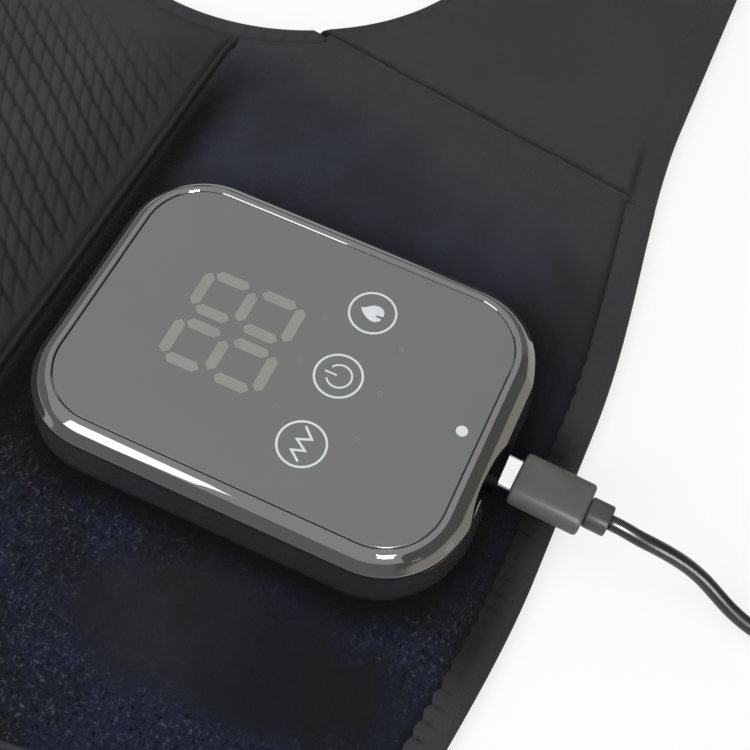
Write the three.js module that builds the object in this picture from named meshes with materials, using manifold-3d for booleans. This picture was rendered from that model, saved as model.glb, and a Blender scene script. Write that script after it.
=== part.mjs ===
// Heated knee massager: a padded wrap with four straps, a flat controller with a touch window on its lower
// half, vibration motors and heating films inside, and a charging lead in the controller's port.
// Millimetres, +Z up. The origin is on the resting surface, under the middle of the wrap. The straps run
// along X, and the controller's port looks along -Y.
import * as THREE from "three";
import { mergeVertices } from "three/addons/utils/BufferGeometryUtils.js";
import Module from "manifold-3d";

const wasm = await Module();
wasm.setup();

// General clearances
const seatGap = 0.3;
const cutOverrun = 2;
const runningGap = 0.25;

// Wrap outline
const strapReach = 355;
const strapBottomY = 138.1;
const strapCornerRadius = 18;
const hemBulge = 9.7;
const hemBulgeFlat = 20;
const hemBulgeEnd = 120;
const notchRadius = 69;
const notchDepthX = 94.5;
const seamTopY = 37;
const seamDraw = 5.1;
const hemWidth = 6;
const grooveY = -16;
const grooveGap = 0.8;

// Wrap layers
const liningThickness = 1.4;
const hemThickness = 3.2;
const strapThickness = 4.6;
const strapEdgeThickness = 3.4;
const strapEdgeRoll = 5;
const coverThickness = 1.1;
const coverGap = 0.8;
const coverEdgeHeight = 4.4;
const loopCrownHeight = 8;
const loopRoll = 16;
const kneeCrownHeight = 14.6;
const kneeRoll = 38;
const grooveHeight = 6;
const grooveRoll = 7;
const kneeGrooveRoll = 46;

// Controller window and case
const controllerX = -6;
const controllerY = -80;
const panelWidth = 64.8;
const panelLength = 90;
const panelCorner = 13.6;
const panelThickness = 1.5;
const panelGap = 0.3;
const caseHeight = 19;
const caseFlare = 6.4;
const caseWall = 1.8;
const caseFloor = 1.8;
const partingDrop = 5;
const partingGap = 0.3;
const ledgeWidth = 1.6;
const ledgeThickness = 1.4;
const upperProfileShares = [[0.24, 0], [0.36, 0.03], [0.47, 0.08], [0.58, 0.16]];
const lowerProfileShares = [[0.84, 0.42], [0.97, 0.58], [1, 0.66], [0.94, 0.79], [0.72, 0.92], [0.44, 1]];
const partingFlareShare = 0.69;

// Parts inside the case
const boardThickness = 1.2;
const boardMargin = 5.4;
const boardShortfall = 2;
const boardCorner = 5;
const bossRadius = 3.4;
const bossInsetX = 11.4;
const bossInsetY = 11;
const displayWidth = 30;
const displayLength = 29;
const displayInset = 17;
const keyDrop = 10.9;
const keyPitch = 18;
const springRadius = 2.4;
const springWire = 0.25;
const springTurns = 4;
const springSteps = 8;
const springSides = 5;
const lightRadius = 1.3;
const lightInset = 3.9;
const batteryWidth = 34;
const batteryShortfall = 36;
const batteryThickness = 6;
const batteryEdge = 2;
const batterySpacing = 1.5;
const beeperRadius = 4.5;
const beeperHeight = 3;
const beeperOffsetX = 3;
const beeperOffsetY = 10;

// Port and plug
const portDrop = 9.4;
const socketWidth = 9.6;
const socketHeight = 3.9;
const socketDepth = 7.4;
const socketWall = 0.3;
const tongueWidth = 5.6;
const tongueHeight = 0.6;
const tongueBack = 1.2;
const tongueFrontGap = 0.9;
const collarWidth = 11.8;
const collarHeight = 6.1;
const collarOut = 7.2;
const collarCorner = 2;
const scoopWidth = 15.4;
const scoopWallOut = 4.3;
const plugShellWidth = 8.3;
const plugShellHeight = 2.5;
const plugShellWall = 0.4;
const plugShellLength = 6.65;
const plugShellShown = 3.1;
const plugShellBack = 1;
const gripWidth = 12.3;
const gripHeight = 6.4;
const gripLength = 16.4;
const gripRound = 1.9;
const gripEndRound = 0.9;
const neckWidth = 6.8;
const neckHeight = 5.2;
const neckLength = 5.8;
const neckTaper = 0.4;
const neckFlat = 0.3;
const plugYaw = 2.8;

// Clamp plate and screws
const plateMarginX = 9;
const plateMarginY = 8;
const plateCorner = 10;
const plateThickness = 1.8;
const plateDepth = 0.3;
const screwRadius = 1.3;
const screwHeadRadius = 2.6;
const screwHeadHeight = 1.4;
const screwGrip = 6;

// Heating films, cut-out, motors and wires
const filmThickness = 0.5;
const sideFilmWidth = 34;
const sideFilmLength = 96;
const sideFilmInset = 28.5;
const filmSpacing = 9;
const kneeFilmLength = 120;
const filmCorner = 6;
const filmInset = 76.1;
const cutoutWidth = 9;
const cutoutLength = 14;
const cutoutHeight = 4;
const motorInsetX = 42.5;
const motorInsetY = 86.1;
const motorRadius = 3.5;
const motorLength = 14;
const shaftRadius = 0.75;
const shaftShown = 6.5;
const shaftInside = 5;
const weightRadius = 3.3;
const weightLength = 4.6;
const weightEndGap = 1;
const weightFitGap = 0.1;
const hubRadius = 1.6;
const capsuleWall = 1;
const capsuleLength = 27;
const capsuleWidth = 13;
const capsuleHeight = 9.8;
const capsuleCorner = 3;
const wireRadius = 0.6;
const wireChannel = 1.8;
const wireSides = 6;
const wireSpread = 18;

// Hook tabs on the left straps
const tabLength = 90;
const tabWidth = 50;
const tabThickness = 0.9;
const tabCorner = 8;
const tabFromEnd = 14;

// Charging lead
const cordRadius = 1.75;
const cordSides = 8;
const cordSteps = 26;
const coilX = 16;
const coilY = -236;
const coilInnerRadius = 12;
const coilTurnsIn = 3.5;
const coilTurnsOut = 3.25;
const coilClimbDip = 1.2;
const coilPitch = 4.05;
const coilLayerRise = 4.05;
const coilStepsPerTurn = 24;
const coilSides = 6;
const tieThickness = 0.6;
const tieWidth = 6;
const tieGap = 0.35;
const tailLength = 30;
const tailLevel = 13;
const usbAWidth = 15.6;
const usbAHeight = 7.6;
const usbALength = 24;
const usbAShellWidth = 12;
const usbAShellHeight = 4.5;
const usbAShellLength = 12;
const usbAShellWall = 0.5;
const usbACorner = 2.4;

// Sizes that follow from those above
const controllerZ = loopCrownHeight + seatGap + caseHeight;
const boardWidth = panelWidth - 2 * boardMargin;
const boardLength = panelLength - boardShortfall;
const bossSpanX = panelWidth - 2 * bossInsetX;
const bossSpanY = panelLength - 2 * bossInsetY;
const displayCentreY = panelLength / 2 - displayInset - displayLength / 2;
const keyY = displayCentreY - displayLength / 2 - keyDrop;
const lightY = lightInset - panelLength / 2;
const scoopWallY = panelLength / 2 + scoopWallOut;
const collarReach = panelLength / 2 + collarOut;
const beeperX = bossSpanX / 2 - beeperOffsetX;
const beeperY = beeperOffsetY - bossSpanY / 2;
const batteryLength = boardLength - batteryShortfall;
const batteryCentreY = beeperY + beeperRadius + batterySpacing + batteryLength / 2;
const plateWidth = bossSpanX + 2 * plateMarginX;
const plateLength = bossSpanY + 2 * plateMarginY;
const seamBottomX = notchDepthX - seamDraw;
const sideFilmX = notchDepthX - sideFilmInset;
const kneeFilmWidth = 2 * sideFilmX - sideFilmWidth - 2 * filmSpacing;
const filmY = strapBottomY - filmInset;
const motorX = notchDepthX - motorInsetX;
const motorY = strapBottomY - motorInsetY;

// Outline helpers

function smooth(t) {
  const c = Math.min(Math.max(t, 0), 1);
  return c * c * (3 - 2 * c);
}

function ease(t) {
  const c = Math.min(Math.max(t, 0), 1);
  return c * (2 - c);
}

function mix(a, b, t) {
  return a + (b - a) * t;
}

function roundedRectangle(halfX, halfY, radius, cornerSteps = 5) {
  const points = [];
  for (let corner = 0; corner < 4; corner += 1) {
    const centreX = (corner === 0 || corner === 3 ? 1 : -1) * (halfX - radius);
    const centreY = (corner < 2 ? 1 : -1) * (halfY - radius);
    for (let step = 0; step <= cornerSteps; step += 1) {
      const angle = (corner + step / cornerSteps) * Math.PI / 2;
      points.push([centreX + radius * Math.cos(angle), centreY + radius * Math.sin(angle)]);
    }
  }
  return points;
}

function shapeOf(points) {
  return new THREE.Shape(points.map(([x, y]) => new THREE.Vector2(x, y)));
}

// Geometry helpers

function indexed(points, faces) {
  const geometry = new THREE.BufferGeometry();
  geometry.setAttribute("position", new THREE.Float32BufferAttribute(points.flat(), 3));
  geometry.setIndex(faces.flat());
  return geometry;
}

function plate(points, thickness, holes = []) {
  const shape = shapeOf(points);
  shape.holes = holes.map(shapeOf);
  return new THREE.ExtrudeGeometry(shape, { depth: thickness, bevelEnabled: false, steps: 1 });
}

function box(sizeX, sizeY, sizeZ, x = 0, y = 0, z = 0) {
  return new THREE.BoxGeometry(sizeX, sizeY, sizeZ).translate(x, y, z);
}

function cylinder(radius, height, sides = 16) {
  return new THREE.CylinderGeometry(radius, radius, height, sides).rotateX(Math.PI / 2);
}

// A closed solid through outlines with equal numbers of points, from the lowest to the highest
function loft(rings) {
  const count = rings[0].length;
  const points = rings.flat();
  const faces = [];
  for (let ring = 0; ring < rings.length - 1; ring += 1) {
    for (let i = 0; i < count; i += 1) {
      const a = ring * count + i;
      const b = ring * count + (i + 1) % count;
      faces.push([a, b, b + count], [a, b + count, a + count]);
    }
  }
  const outline = rings[0].map(([x, y]) => new THREE.Vector2(x, y));
  const last = (rings.length - 1) * count;
  for (const [a, b, c] of THREE.ShapeUtils.triangulateShape(outline, [])) {
    faces.push([c, b, a], [a + last, b + last, c + last]);
  }
  return indexed(points, faces);
}

// A closed solid over a grid of places, with a height for the top and the underside at each place
function quilt(grid, topOf, undersideOf) {
  const rows = grid.length;
  const columns = grid[0].length;
  const points = [];
  for (const heightOf of [topOf, undersideOf]) {
    for (const row of grid) {
      for (const [x, y, t] of row) {
        points.push([x, y, heightOf(x, y, t)]);
      }
    }
  }
  const under = rows * columns;
  const at = (row, column) => row * columns + column;
  const faces = [];
  for (let row = 0; row < rows - 1; row += 1) {
    for (let column = 0; column < columns - 1; column += 1) {
      const a = at(row, column);
      const b = at(row, column + 1);
      const c = at(row + 1, column + 1);
      const d = at(row + 1, column);
      faces.push([a, b, c], [a, c, d]);
      faces.push([c + under, b + under, a + under], [d + under, c + under, a + under]);
    }
  }
  const rim = [];
  for (let column = 0; column < columns - 1; column += 1) rim.push(at(0, column));
  for (let row = 0; row < rows - 1; row += 1) rim.push(at(row, columns - 1));
  for (let column = columns - 1; column > 0; column -= 1) rim.push(at(rows - 1, column));
  for (let row = rows - 1; row > 0; row -= 1) rim.push(at(row, 0));
  rim.forEach((a, i) => {
    const b = rim[(i + 1) % rim.length];
    faces.push([a + under, b + under, b], [a + under, b, a]);
  });
  return indexed(points, faces);
}

// An unbroken round tube through a list of points
function tube(points, radius, sides) {
  const path = points.map((point) => new THREE.Vector3(...point));
  const up = new THREE.Vector3(0, 0, 1);
  const rings = path.map((point, i) => {
    const before = path[Math.max(i - 1, 0)];
    const after = path[Math.min(i + 1, path.length - 1)];
    const along = after.clone().sub(before).normalize();
    const side = new THREE.Vector3().crossVectors(along, up).normalize();
    const over = new THREE.Vector3().crossVectors(side, along);
    const ring = [];
    for (let k = 0; k < sides; k += 1) {
      const angle = (k + 0.5) / sides * Math.PI * 2;
      ring.push(point.clone()
        .addScaledVector(side, radius * Math.cos(angle))
        .addScaledVector(over, radius * Math.sin(angle)));
    }
    return ring;
  });
  const places = rings.flat().map((p) => [p.x, p.y, p.z]);
  const faces = [];
  for (let ring = 0; ring < rings.length - 1; ring += 1) {
    for (let k = 0; k < sides; k += 1) {
      const a = ring * sides + k;
      const b = ring * sides + (k + 1) % sides;
      faces.push([a, b + sides, b], [a, a + sides, b + sides]);
    }
  }
  const last = (rings.length - 1) * sides;
  for (let k = 1; k < sides - 1; k += 1) {
    faces.push([0, k, k + 1], [last, last + k + 1, last + k]);
  }
  return indexed(places, faces);
}

// Joining and cutting

function solidOf(geometry) {
  const bare = geometry.clone();
  bare.deleteAttribute("normal");
  bare.deleteAttribute("uv");
  const merged = mergeVertices(bare, 1e-4);
  return new wasm.Manifold(new wasm.Mesh({
    numProp: 3,
    vertProperties: new Float32Array(merged.attributes.position.array),
    triVerts: new Uint32Array(merged.index.array),
  }));
}

function geometryOf(solid) {
  const mesh = solid.getMesh();
  const geometry = new THREE.BufferGeometry();
  geometry.setAttribute("position", new THREE.BufferAttribute(mesh.vertProperties, 3));
  geometry.setIndex(new THREE.BufferAttribute(mesh.triVerts, 1));
  return geometry;
}

function joined(geometry, others) {
  return geometryOf(others.reduce((solid, other) => solid.add(solidOf(other)), solidOf(geometry)));
}

function cut(geometry, others) {
  return geometryOf(others.reduce((solid, other) => solid.subtract(solidOf(other)), solidOf(geometry)));
}

// Materials
function material(colour, roughness, metalness = 0) {
  return new THREE.MeshStandardMaterial({ color: colour, roughness, metalness });
}

const materials = {
  window: material(0x777a78, 0.15),
  case: material(0x17171a, 0.08),
  loopFabric: material(0x1b1d28, 0.95),
  kneeFabric: material(0x3a3b3e, 0.9),
  hemFabric: material(0x36373a, 0.9),
  lining: material(0x2a2b2e, 0.95),
  foam: material(0x8c8f94, 0.95),
  board: material(0x1f5a36, 0.5),
  blackPlastic: material(0x222224, 0.45),
  greyPlastic: material(0x626462, 0.5),
  digit: material(0xb9bbae, 0.4),
  light: material(0xf2f8f6, 0.2),
  steel: material(0xc9ccd0, 0.25, 1),
  brass: material(0xb08d4c, 0.35, 1),
  battery: material(0xaab2ba, 0.4, 0.3),
  film: material(0x4a3a2c, 0.6),
  wire: material(0x9c2a24, 0.5),
  hook: material(0x151517, 0.95),
  cord: material(0x2b2b2b, 0.25),
};

const part = new THREE.Group();

function place(name, geometry, look, parent = part, x = 0, y = 0, z = 0) {
  const mesh = new THREE.Mesh(geometry, look);
  mesh.name = name;
  mesh.position.set(x, y, z);
  parent.add(mesh);
  return mesh;
}

// Wrap outline: the plan is alike on both sides of each middle line, so these take places in one quarter

const notchCentreX = notchDepthX + notchRadius;
const seamTopX = notchCentreX - Math.sqrt(notchRadius ** 2 - seamTopY ** 2);
const seamSlope = (seamTopX - seamBottomX) / (strapBottomY - seamTopY);
const seamCosine = 1 / Math.hypot(1, seamSlope);

function seamX(y) {
  return seamTopX - (Math.abs(y) - seamTopY) * seamSlope;
}

function notchX(y, inset = 0) {
  const radius = notchRadius + inset;
  return notchCentreX - Math.sqrt(Math.max(radius ** 2 - y ** 2, 0));
}

function bodyEdgeX(y, inset = 0) {
  return Math.min(notchX(y, inset), seamX(y) - seatGap - inset);
}

function endY(x, inset = 0) {
  const share = (hemBulgeEnd - Math.abs(x)) / (hemBulgeEnd - hemBulgeFlat);
  return strapBottomY + hemBulge * smooth(share) - inset;
}

function bodyCorner(inset) {
  let x = seamBottomX;
  for (let pass = 0; pass < 4; pass += 1) x = bodyEdgeX(endY(x, inset), inset);
  return [x, endY(x, inset)];
}

function bodyOutline(inset = 0) {
  const [cornerX, cornerY] = bodyCorner(inset);
  const points = [];
  const endSteps = 12;
  const seamSteps = 3;
  const notchSteps = 12;
  for (let i = 0; i <= endSteps; i += 1) {
    const x = mix(-cornerX, cornerX, i / endSteps);
    points.push([x, -endY(x, inset)]);
  }
  const sideYs = [];
  for (let i = 1; i < seamSteps; i += 1) sideYs.push(mix(-cornerY, -seamTopY, i / seamSteps));
  for (let i = 0; i <= notchSteps; i += 1) sideYs.push(mix(-seamTopY, seamTopY, i / notchSteps));
  for (let i = 1; i < seamSteps; i += 1) sideYs.push(mix(seamTopY, cornerY, i / seamSteps));
  for (const y of sideYs) points.push([bodyEdgeX(y, inset), y]);
  return [...points, ...points.map(([x, y]) => [-x, -y])];
}

// Padded body: a grid of places over both covers, and the height of the covers over it

const coverInset = hemWidth + coverGap;
const columnShares = [-1, -0.96, -0.88, -0.7, -0.45, -0.15, 0.15, 0.45, 0.7, 0.88, 0.96, 1];
const loopRowShares = [0, 0.04, 0.1, 0.3, 0.6, 0.9, 0.96, 1];
const kneeRowShares = [0, 0.05, 0.12, 0.2, 0.3, 0.42, 0.55, 0.7, 0.82, 0.92, 0.97, 1];

function rowsBetween(lowOf, highOf, shares) {
  return shares.map((share) => columnShares.map((across) => {
    let x = across * notchDepthX;
    let y = 0;
    for (let pass = 0; pass < 5; pass += 1) {
      y = mix(lowOf(x), highOf(x), share);
      x = across * bodyEdgeX(y, coverInset);
    }
    return [x, y];
  }));
}

const loopRows = rowsBetween((x) => -endY(x, coverInset), () => grooveY - grooveGap / 2, loopRowShares);
const kneeRows = rowsBetween(() => grooveY + grooveGap / 2, (x) => endY(x, coverInset), kneeRowShares);

function coverTop(x, y) {
  const side = bodyEdgeX(y, coverInset) - Math.abs(x);
  const end = endY(x, coverInset) - Math.abs(y);
  const edge = Math.max(Math.min(side, end), 0);
  const groove = Math.max(Math.abs(y - grooveY) - grooveGap / 2, 0);
  const inLoop = y < grooveY;
  const crown = inLoop ? loopCrownHeight : kneeCrownHeight;
  const fromEdge = mix(coverEdgeHeight, crown, ease(edge / (inLoop ? loopRoll : kneeRoll)));
  const fromGroove = mix(grooveHeight, crown, ease(groove / (inLoop ? grooveRoll : kneeGrooveRoll)));
  return Math.min(fromEdge, fromGroove);
}

function coverUnderside(x, y) {
  return coverTop(x, y) - coverThickness;
}

function foamTop(x, y) {
  return coverUnderside(x, y) - seatGap;
}

const filmZ = liningThickness + seatGap;
const foamBottom = filmZ + filmThickness + seatGap;

// Lining, hem and heating films
place("inner_lining", plate(bodyOutline(), liningThickness), materials.lining);
place("hem_border", plate(bodyOutline(), hemThickness, [bodyOutline(hemWidth)]), materials.hemFabric, part,
  0, 0, liningThickness);
const kneeFilm = roundedRectangle(kneeFilmWidth / 2, kneeFilmLength / 2, filmCorner, 3);
const sideFilm = roundedRectangle(sideFilmWidth / 2, sideFilmLength / 2, filmCorner, 3);
place("heating_film_knee", plate(kneeFilm, filmThickness), materials.film, part, 0, filmY, filmZ);
place("heating_film_left", plate(sideFilm, filmThickness), materials.film, part, -sideFilmX, filmY, filmZ);
place("heating_film_right", plate(sideFilm, filmThickness), materials.film, part, sideFilmX, filmY, filmZ);

// Clamp plate, screws and the places of the screws
const plateTopZ = loopCrownHeight - coverThickness - plateDepth;
const plateZ = plateTopZ - plateThickness;
const screwHeadZ = plateZ - screwHeadHeight;
const screwTipZ = controllerZ - caseHeight + caseFloor + screwGrip;
const screwPlaces = [[-1, -1], [1, -1], [1, 1], [-1, 1]].map(([sideX, sideY]) => [
  controllerX + sideX * bossSpanX / 2,
  controllerY + sideY * bossSpanY / 2,
]);
const screwHoleRadius = screwRadius + runningGap;

function screwHole(x, y, low, high) {
  return cylinder(screwHoleRadius, high - low, 12).translate(x, y, (low + high) / 2);
}

const plateOutline = roundedRectangle(plateWidth / 2, plateLength / 2, plateCorner, 4);
const plateHoles = screwPlaces.map(([x, y]) => screwHole(x, y, plateZ - cutOverrun, plateTopZ + cutOverrun));
place("base_plate",
  cut(plate(plateOutline, plateThickness).translate(controllerX, controllerY, plateZ), plateHoles),
  materials.blackPlastic);
screwPlaces.forEach(([x, y], i) => {
  const profile = [
    [0, screwHeadZ], [screwHeadRadius, screwHeadZ], [screwHeadRadius, plateZ],
    [screwRadius, plateZ], [screwRadius, screwTipZ], [0, screwTipZ],
  ].map(([radius, z]) => new THREE.Vector2(radius, z));
  const screw = new THREE.LatheGeometry(profile, 12).rotateX(Math.PI / 2);
  place(`case_screw_${i + 1}`, screw, materials.steel, part, x, y, 0);
});

// Motor capsules: tray, lid, can, and the shaft with its off-centre weight
const capsuleZ = foamBottom;
const capsuleMiddleZ = capsuleZ + capsuleHeight / 2;
const capsuleInnerLength = capsuleLength - 2 * capsuleWall;
const capsuleInnerWidth = capsuleWidth - 2 * capsuleWall;

function capsuleHalf(low, high, hollowLow, hollowHigh) {
  const outer = roundedRectangle(capsuleLength / 2, capsuleWidth / 2, capsuleCorner, 3);
  const inner = roundedRectangle(capsuleInnerLength / 2, capsuleInnerWidth / 2, capsuleCorner - capsuleWall, 3);
  return cut(plate(outer, high - low).translate(0, 0, low),
    [plate(inner, hollowHigh - hollowLow).translate(0, 0, hollowLow)]);
}

const motorCanEndX = -capsuleInnerLength / 2 + seatGap;
const motorCanFrontX = motorCanEndX + motorLength;
for (const [side, sign] of [["left", -1], ["right", 1]]) {
  const capsule = new THREE.Group();
  capsule.position.set(sign * motorX, motorY, 0);
  part.add(capsule);
  const trayTop = capsuleMiddleZ - seatGap / 2;
  const lidBottom = capsuleMiddleZ + seatGap / 2;
  const capsuleTop = capsuleZ + capsuleHeight;
  place(`motor_tray_${side}`, capsuleHalf(capsuleZ, trayTop, capsuleZ + capsuleWall, trayTop + cutOverrun),
    materials.blackPlastic, capsule);
  place(`motor_lid_${side}`, capsuleHalf(lidBottom, capsuleTop, lidBottom - cutOverrun, capsuleTop - capsuleWall),
    materials.blackPlastic, capsule);
  const can = cylinder(motorRadius, motorLength, 16).rotateY(Math.PI / 2);
  can.translate((motorCanEndX + motorCanFrontX) / 2, 0, capsuleMiddleZ);
  const bore = cylinder(shaftRadius + runningGap, shaftInside + seatGap + cutOverrun, 12).rotateY(Math.PI / 2);
  bore.translate(motorCanFrontX + (cutOverrun - shaftInside - seatGap) / 2, 0, capsuleMiddleZ);
  place(`motor_can_${side}`, cut(can, [bore]), materials.steel, capsule);
  const shaft = cylinder(shaftRadius, shaftInside + shaftShown, 12).rotateY(Math.PI / 2);
  shaft.translate(motorCanFrontX + (shaftShown - shaftInside) / 2, 0, capsuleMiddleZ);
  place(`motor_shaft_${side}`, shaft, materials.steel, capsule);
  const halfDisc = [];
  for (let i = 0; i <= 10; i += 1) {
    const angle = Math.PI * i / 10;
    halfDisc.push([weightRadius * Math.cos(angle), weightRadius * Math.sin(angle)]);
  }
  halfDisc.push([-hubRadius, 0], [-hubRadius, -hubRadius], [hubRadius, -hubRadius], [hubRadius, 0]);
  const weight = plate(halfDisc, weightLength).applyMatrix4(new THREE.Matrix4().makeBasis(
    new THREE.Vector3(0, -1, 0), new THREE.Vector3(0, 0, -1), new THREE.Vector3(1, 0, 0)));
  weight.translate(motorCanFrontX + weightEndGap, 0, capsuleMiddleZ);
  const hubHole = cylinder(shaftRadius + weightFitGap, weightLength + 2 * cutOverrun, 12).rotateY(Math.PI / 2);
  hubHole.translate(motorCanFrontX + weightEndGap + weightLength / 2, 0, capsuleMiddleZ);
  place(`eccentric_weight_${side}`, cut(weight, [hubHole]), materials.brass, capsule);
}

// Thermal cut-out on the knee film
const cutoutY = filmY - kneeFilmLength / 2 + cutoutLength;
place("thermal_cutout", box(cutoutWidth, cutoutLength, cutoutHeight), materials.blackPlastic, part,
  0, cutoutY, foamBottom + cutoutHeight / 2);

// Wires in channels of the foam, from the clamp plate to the capsules and the cut-out
const wireStartY = controllerY + plateLength / 2 + seatGap;
const wireSteps = 14;

function wireRoute(startX, endX, endYPlace) {
  const points = [];
  for (let i = 0; i <= wireSteps; i += 1) {
    const share = i / wireSteps;
    const x = mix(startX, endX, smooth(share));
    points.push([x, mix(wireStartY, endYPlace, share), foamBottom + wireRadius]);
  }
  return points;
}

const motorWireEndY = motorY - capsuleWidth / 2 - seatGap;
const wires = {
  wire_left_motor: wireRoute(controllerX - wireSpread, -motorX, motorWireEndY),
  wire_right_motor: wireRoute(controllerX + wireSpread, motorX, motorWireEndY),
  wire_heater: wireRoute(controllerX, 0, cutoutY - cutoutLength / 2 - seatGap),
};
for (const [name, route] of Object.entries(wires)) {
  place(name, tube(route, wireRadius, wireSides), materials.wire);
}

// Foam core with its pockets
const foamPockets = [
  plate(roundedRectangle(plateWidth / 2 + seatGap, plateLength / 2 + seatGap, plateCorner + seatGap, 4),
    loopCrownHeight).translate(controllerX, controllerY, plateZ - seatGap),
  box(cutoutWidth + 2 * seatGap, cutoutLength + 2 * seatGap, cutoutHeight + seatGap + cutOverrun,
    0, cutoutY, foamBottom + (cutoutHeight + seatGap - cutOverrun) / 2),
];
for (const [x, y] of screwPlaces) {
  foamPockets.push(cylinder(screwHeadRadius + seatGap, loopCrownHeight, 12).translate(x, y, foamBottom));
}
for (const sign of [-1, 1]) {
  foamPockets.push(plate(
    roundedRectangle(capsuleLength / 2 + seatGap, capsuleWidth / 2 + seatGap, capsuleCorner + seatGap, 3),
    kneeCrownHeight + cutOverrun).translate(sign * motorX, motorY, foamBottom - cutOverrun));
}
for (const route of Object.values(wires)) {
  const first = route[0];
  const last = route[route.length - 1];
  const channel = [[first[0], first[1] - cutOverrun, first[2]], ...route, [last[0], last[1] + cutOverrun, last[2]]];
  foamPockets.push(tube(channel, wireChannel / 2, wireSides));
}
const foam = quilt([...loopRows, ...kneeRows], foamTop, () => foamBottom);
place("foam_core", cut(foam, foamPockets), materials.foam);

// Covers
const coverHoles = screwPlaces.map(([x, y]) => screwHole(x, y, plateTopZ - cutOverrun, controllerZ));
place("loop_panel", cut(quilt(loopRows, coverTop, coverUnderside), coverHoles), materials.loopFabric);
place("knee_pad_cover", quilt(kneeRows, coverTop, coverUnderside), materials.kneeFabric);

// Straps: rounded along the seam so that they fold there, soft along their other edges
const strapHalf = strapThickness / 2;
const noseShares = [0, 0.12, 0.45, 1];
const strapColumnShares = [0.05, 0.1, 0.16, 0.22, 0.29, 0.5, 0.75, 0.93, 0.965, 0.988, 1];
const strapRowShares = [0, 0.07, 0.5, 0.93, 1];
const noseEdge = 0.4;

function strapEndInset(x) {
  const past = Math.max(x - (strapReach - strapCornerRadius), 0);
  return strapCornerRadius - Math.sqrt(Math.max(strapCornerRadius ** 2 - past ** 2, 0));
}

function strapTopEdge(x) {
  if (x < seamTopX) return -seamTopY;
  const past = Math.min(x - notchCentreX, 0);
  return -Math.sqrt(notchRadius ** 2 - past ** 2) - strapEndInset(x);
}

function strapBottomEdge(x) {
  return -endY(x) + strapEndInset(x);
}

function strapPlace(share, xOf) {
  let x = xOf(-strapBottomY);
  let y = 0;
  for (let pass = 0; pass < 6; pass += 1) {
    y = mix(strapBottomEdge(x), strapTopEdge(x), share);
    x = xOf(y);
  }
  return [x, y, Math.min(share, 1 - share) * (strapTopEdge(x) - strapBottomEdge(x))];
}

function strapTop(x, y, fromEdge) {
  const fromSeam = (x - seamX(y)) * seamCosine;
  const fromEnd = strapReach - x;
  const soft = ease(Math.min(fromEdge, fromEnd) / strapEdgeRoll);
  return Math.min(mix(strapEdgeThickness, strapThickness, soft), strapHalf + noseHeight(fromSeam));
}

function strapUnderside(x, y) {
  return strapHalf - noseHeight((x - seamX(y)) * seamCosine);
}

function noseHeight(fromSeam) {
  const past = Math.max(strapHalf - fromSeam, 0);
  return Math.max(Math.sqrt(Math.max(strapHalf ** 2 - past ** 2, 0)), noseEdge);
}

const strapGrid = strapRowShares.map((share) => [
  ...noseShares.map((nose) => strapPlace(share, (y) => seamX(y) + nose * strapHalf / seamCosine)),
  ...strapColumnShares.map((along) => strapPlace(share,
    (y) => mix(seamX(y) + strapHalf / seamCosine, strapReach, along))),
]);

function mirrored(geometry, signX, signY) {
  const copy = geometry.clone().scale(signX, signY, 1);
  if (signX * signY < 0) {
    const index = copy.index.array;
    for (let i = 0; i < index.length; i += 3) [index[i], index[i + 1]] = [index[i + 1], index[i]];
  }
  return copy;
}

const tabCentreX = strapReach - tabFromEnd - tabLength / 2;
const tabCentreY = -(notchRadius + strapBottomY) / 2;
const tabRecess = plate(
  roundedRectangle(tabLength / 2 + seatGap, tabWidth / 2 + seatGap, tabCorner + seatGap, 4),
  tabThickness + seatGap + cutOverrun).translate(tabCentreX, tabCentreY, -cutOverrun);
const hookTab = plate(roundedRectangle(tabLength / 2, tabWidth / 2, tabCorner, 4), tabThickness);
const plainStrap = quilt(strapGrid, strapTop, strapUnderside);
const tabbedStrap = cut(plainStrap, [tabRecess]);
place("strap_lower_right", plainStrap, materials.hemFabric);
place("strap_upper_right", mirrored(plainStrap, 1, -1), materials.hemFabric);
place("strap_lower_left", mirrored(tabbedStrap, -1, 1), materials.hemFabric);
place("strap_upper_left", mirrored(tabbedStrap, -1, -1), materials.hemFabric);
place("hook_tab_lower_left", hookTab.clone(), materials.hook, part, -tabCentreX, tabCentreY, 0);
place("hook_tab_upper_left", hookTab.clone(), materials.hook, part, -tabCentreX, -tabCentreY, 0);

// Controller, placed with its origin at the middle of the window's top face
const controller = new THREE.Group();
controller.position.set(controllerX, controllerY, controllerZ);
part.add(controller);

function caseRing(flare, drop, shrink = 0) {
  const grown = flare - shrink;
  return roundedRectangle(panelWidth / 2 + grown, panelLength / 2 + grown, panelCorner + grown, 5)
    .map(([x, y]) => [x, y, -drop]);
}

function profileRings(shares, shrink = 0) {
  return shares.map(([flareShare, dropShare]) => caseRing(caseFlare * flareShare, caseHeight * dropShare, shrink));
}

const partingFlare = caseFlare * partingFlareShare;
const recessDepth = panelThickness + seatGap;
const ledgeBottom = recessDepth + ledgeThickness;
const innerPartingFlare = partingFlare - caseWall;

const windowOutline = roundedRectangle(panelWidth / 2, panelLength / 2, panelCorner, 6);
place("display_panel", plate(windowOutline, panelThickness), materials.window, controller, 0, 0, -panelThickness);

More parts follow.
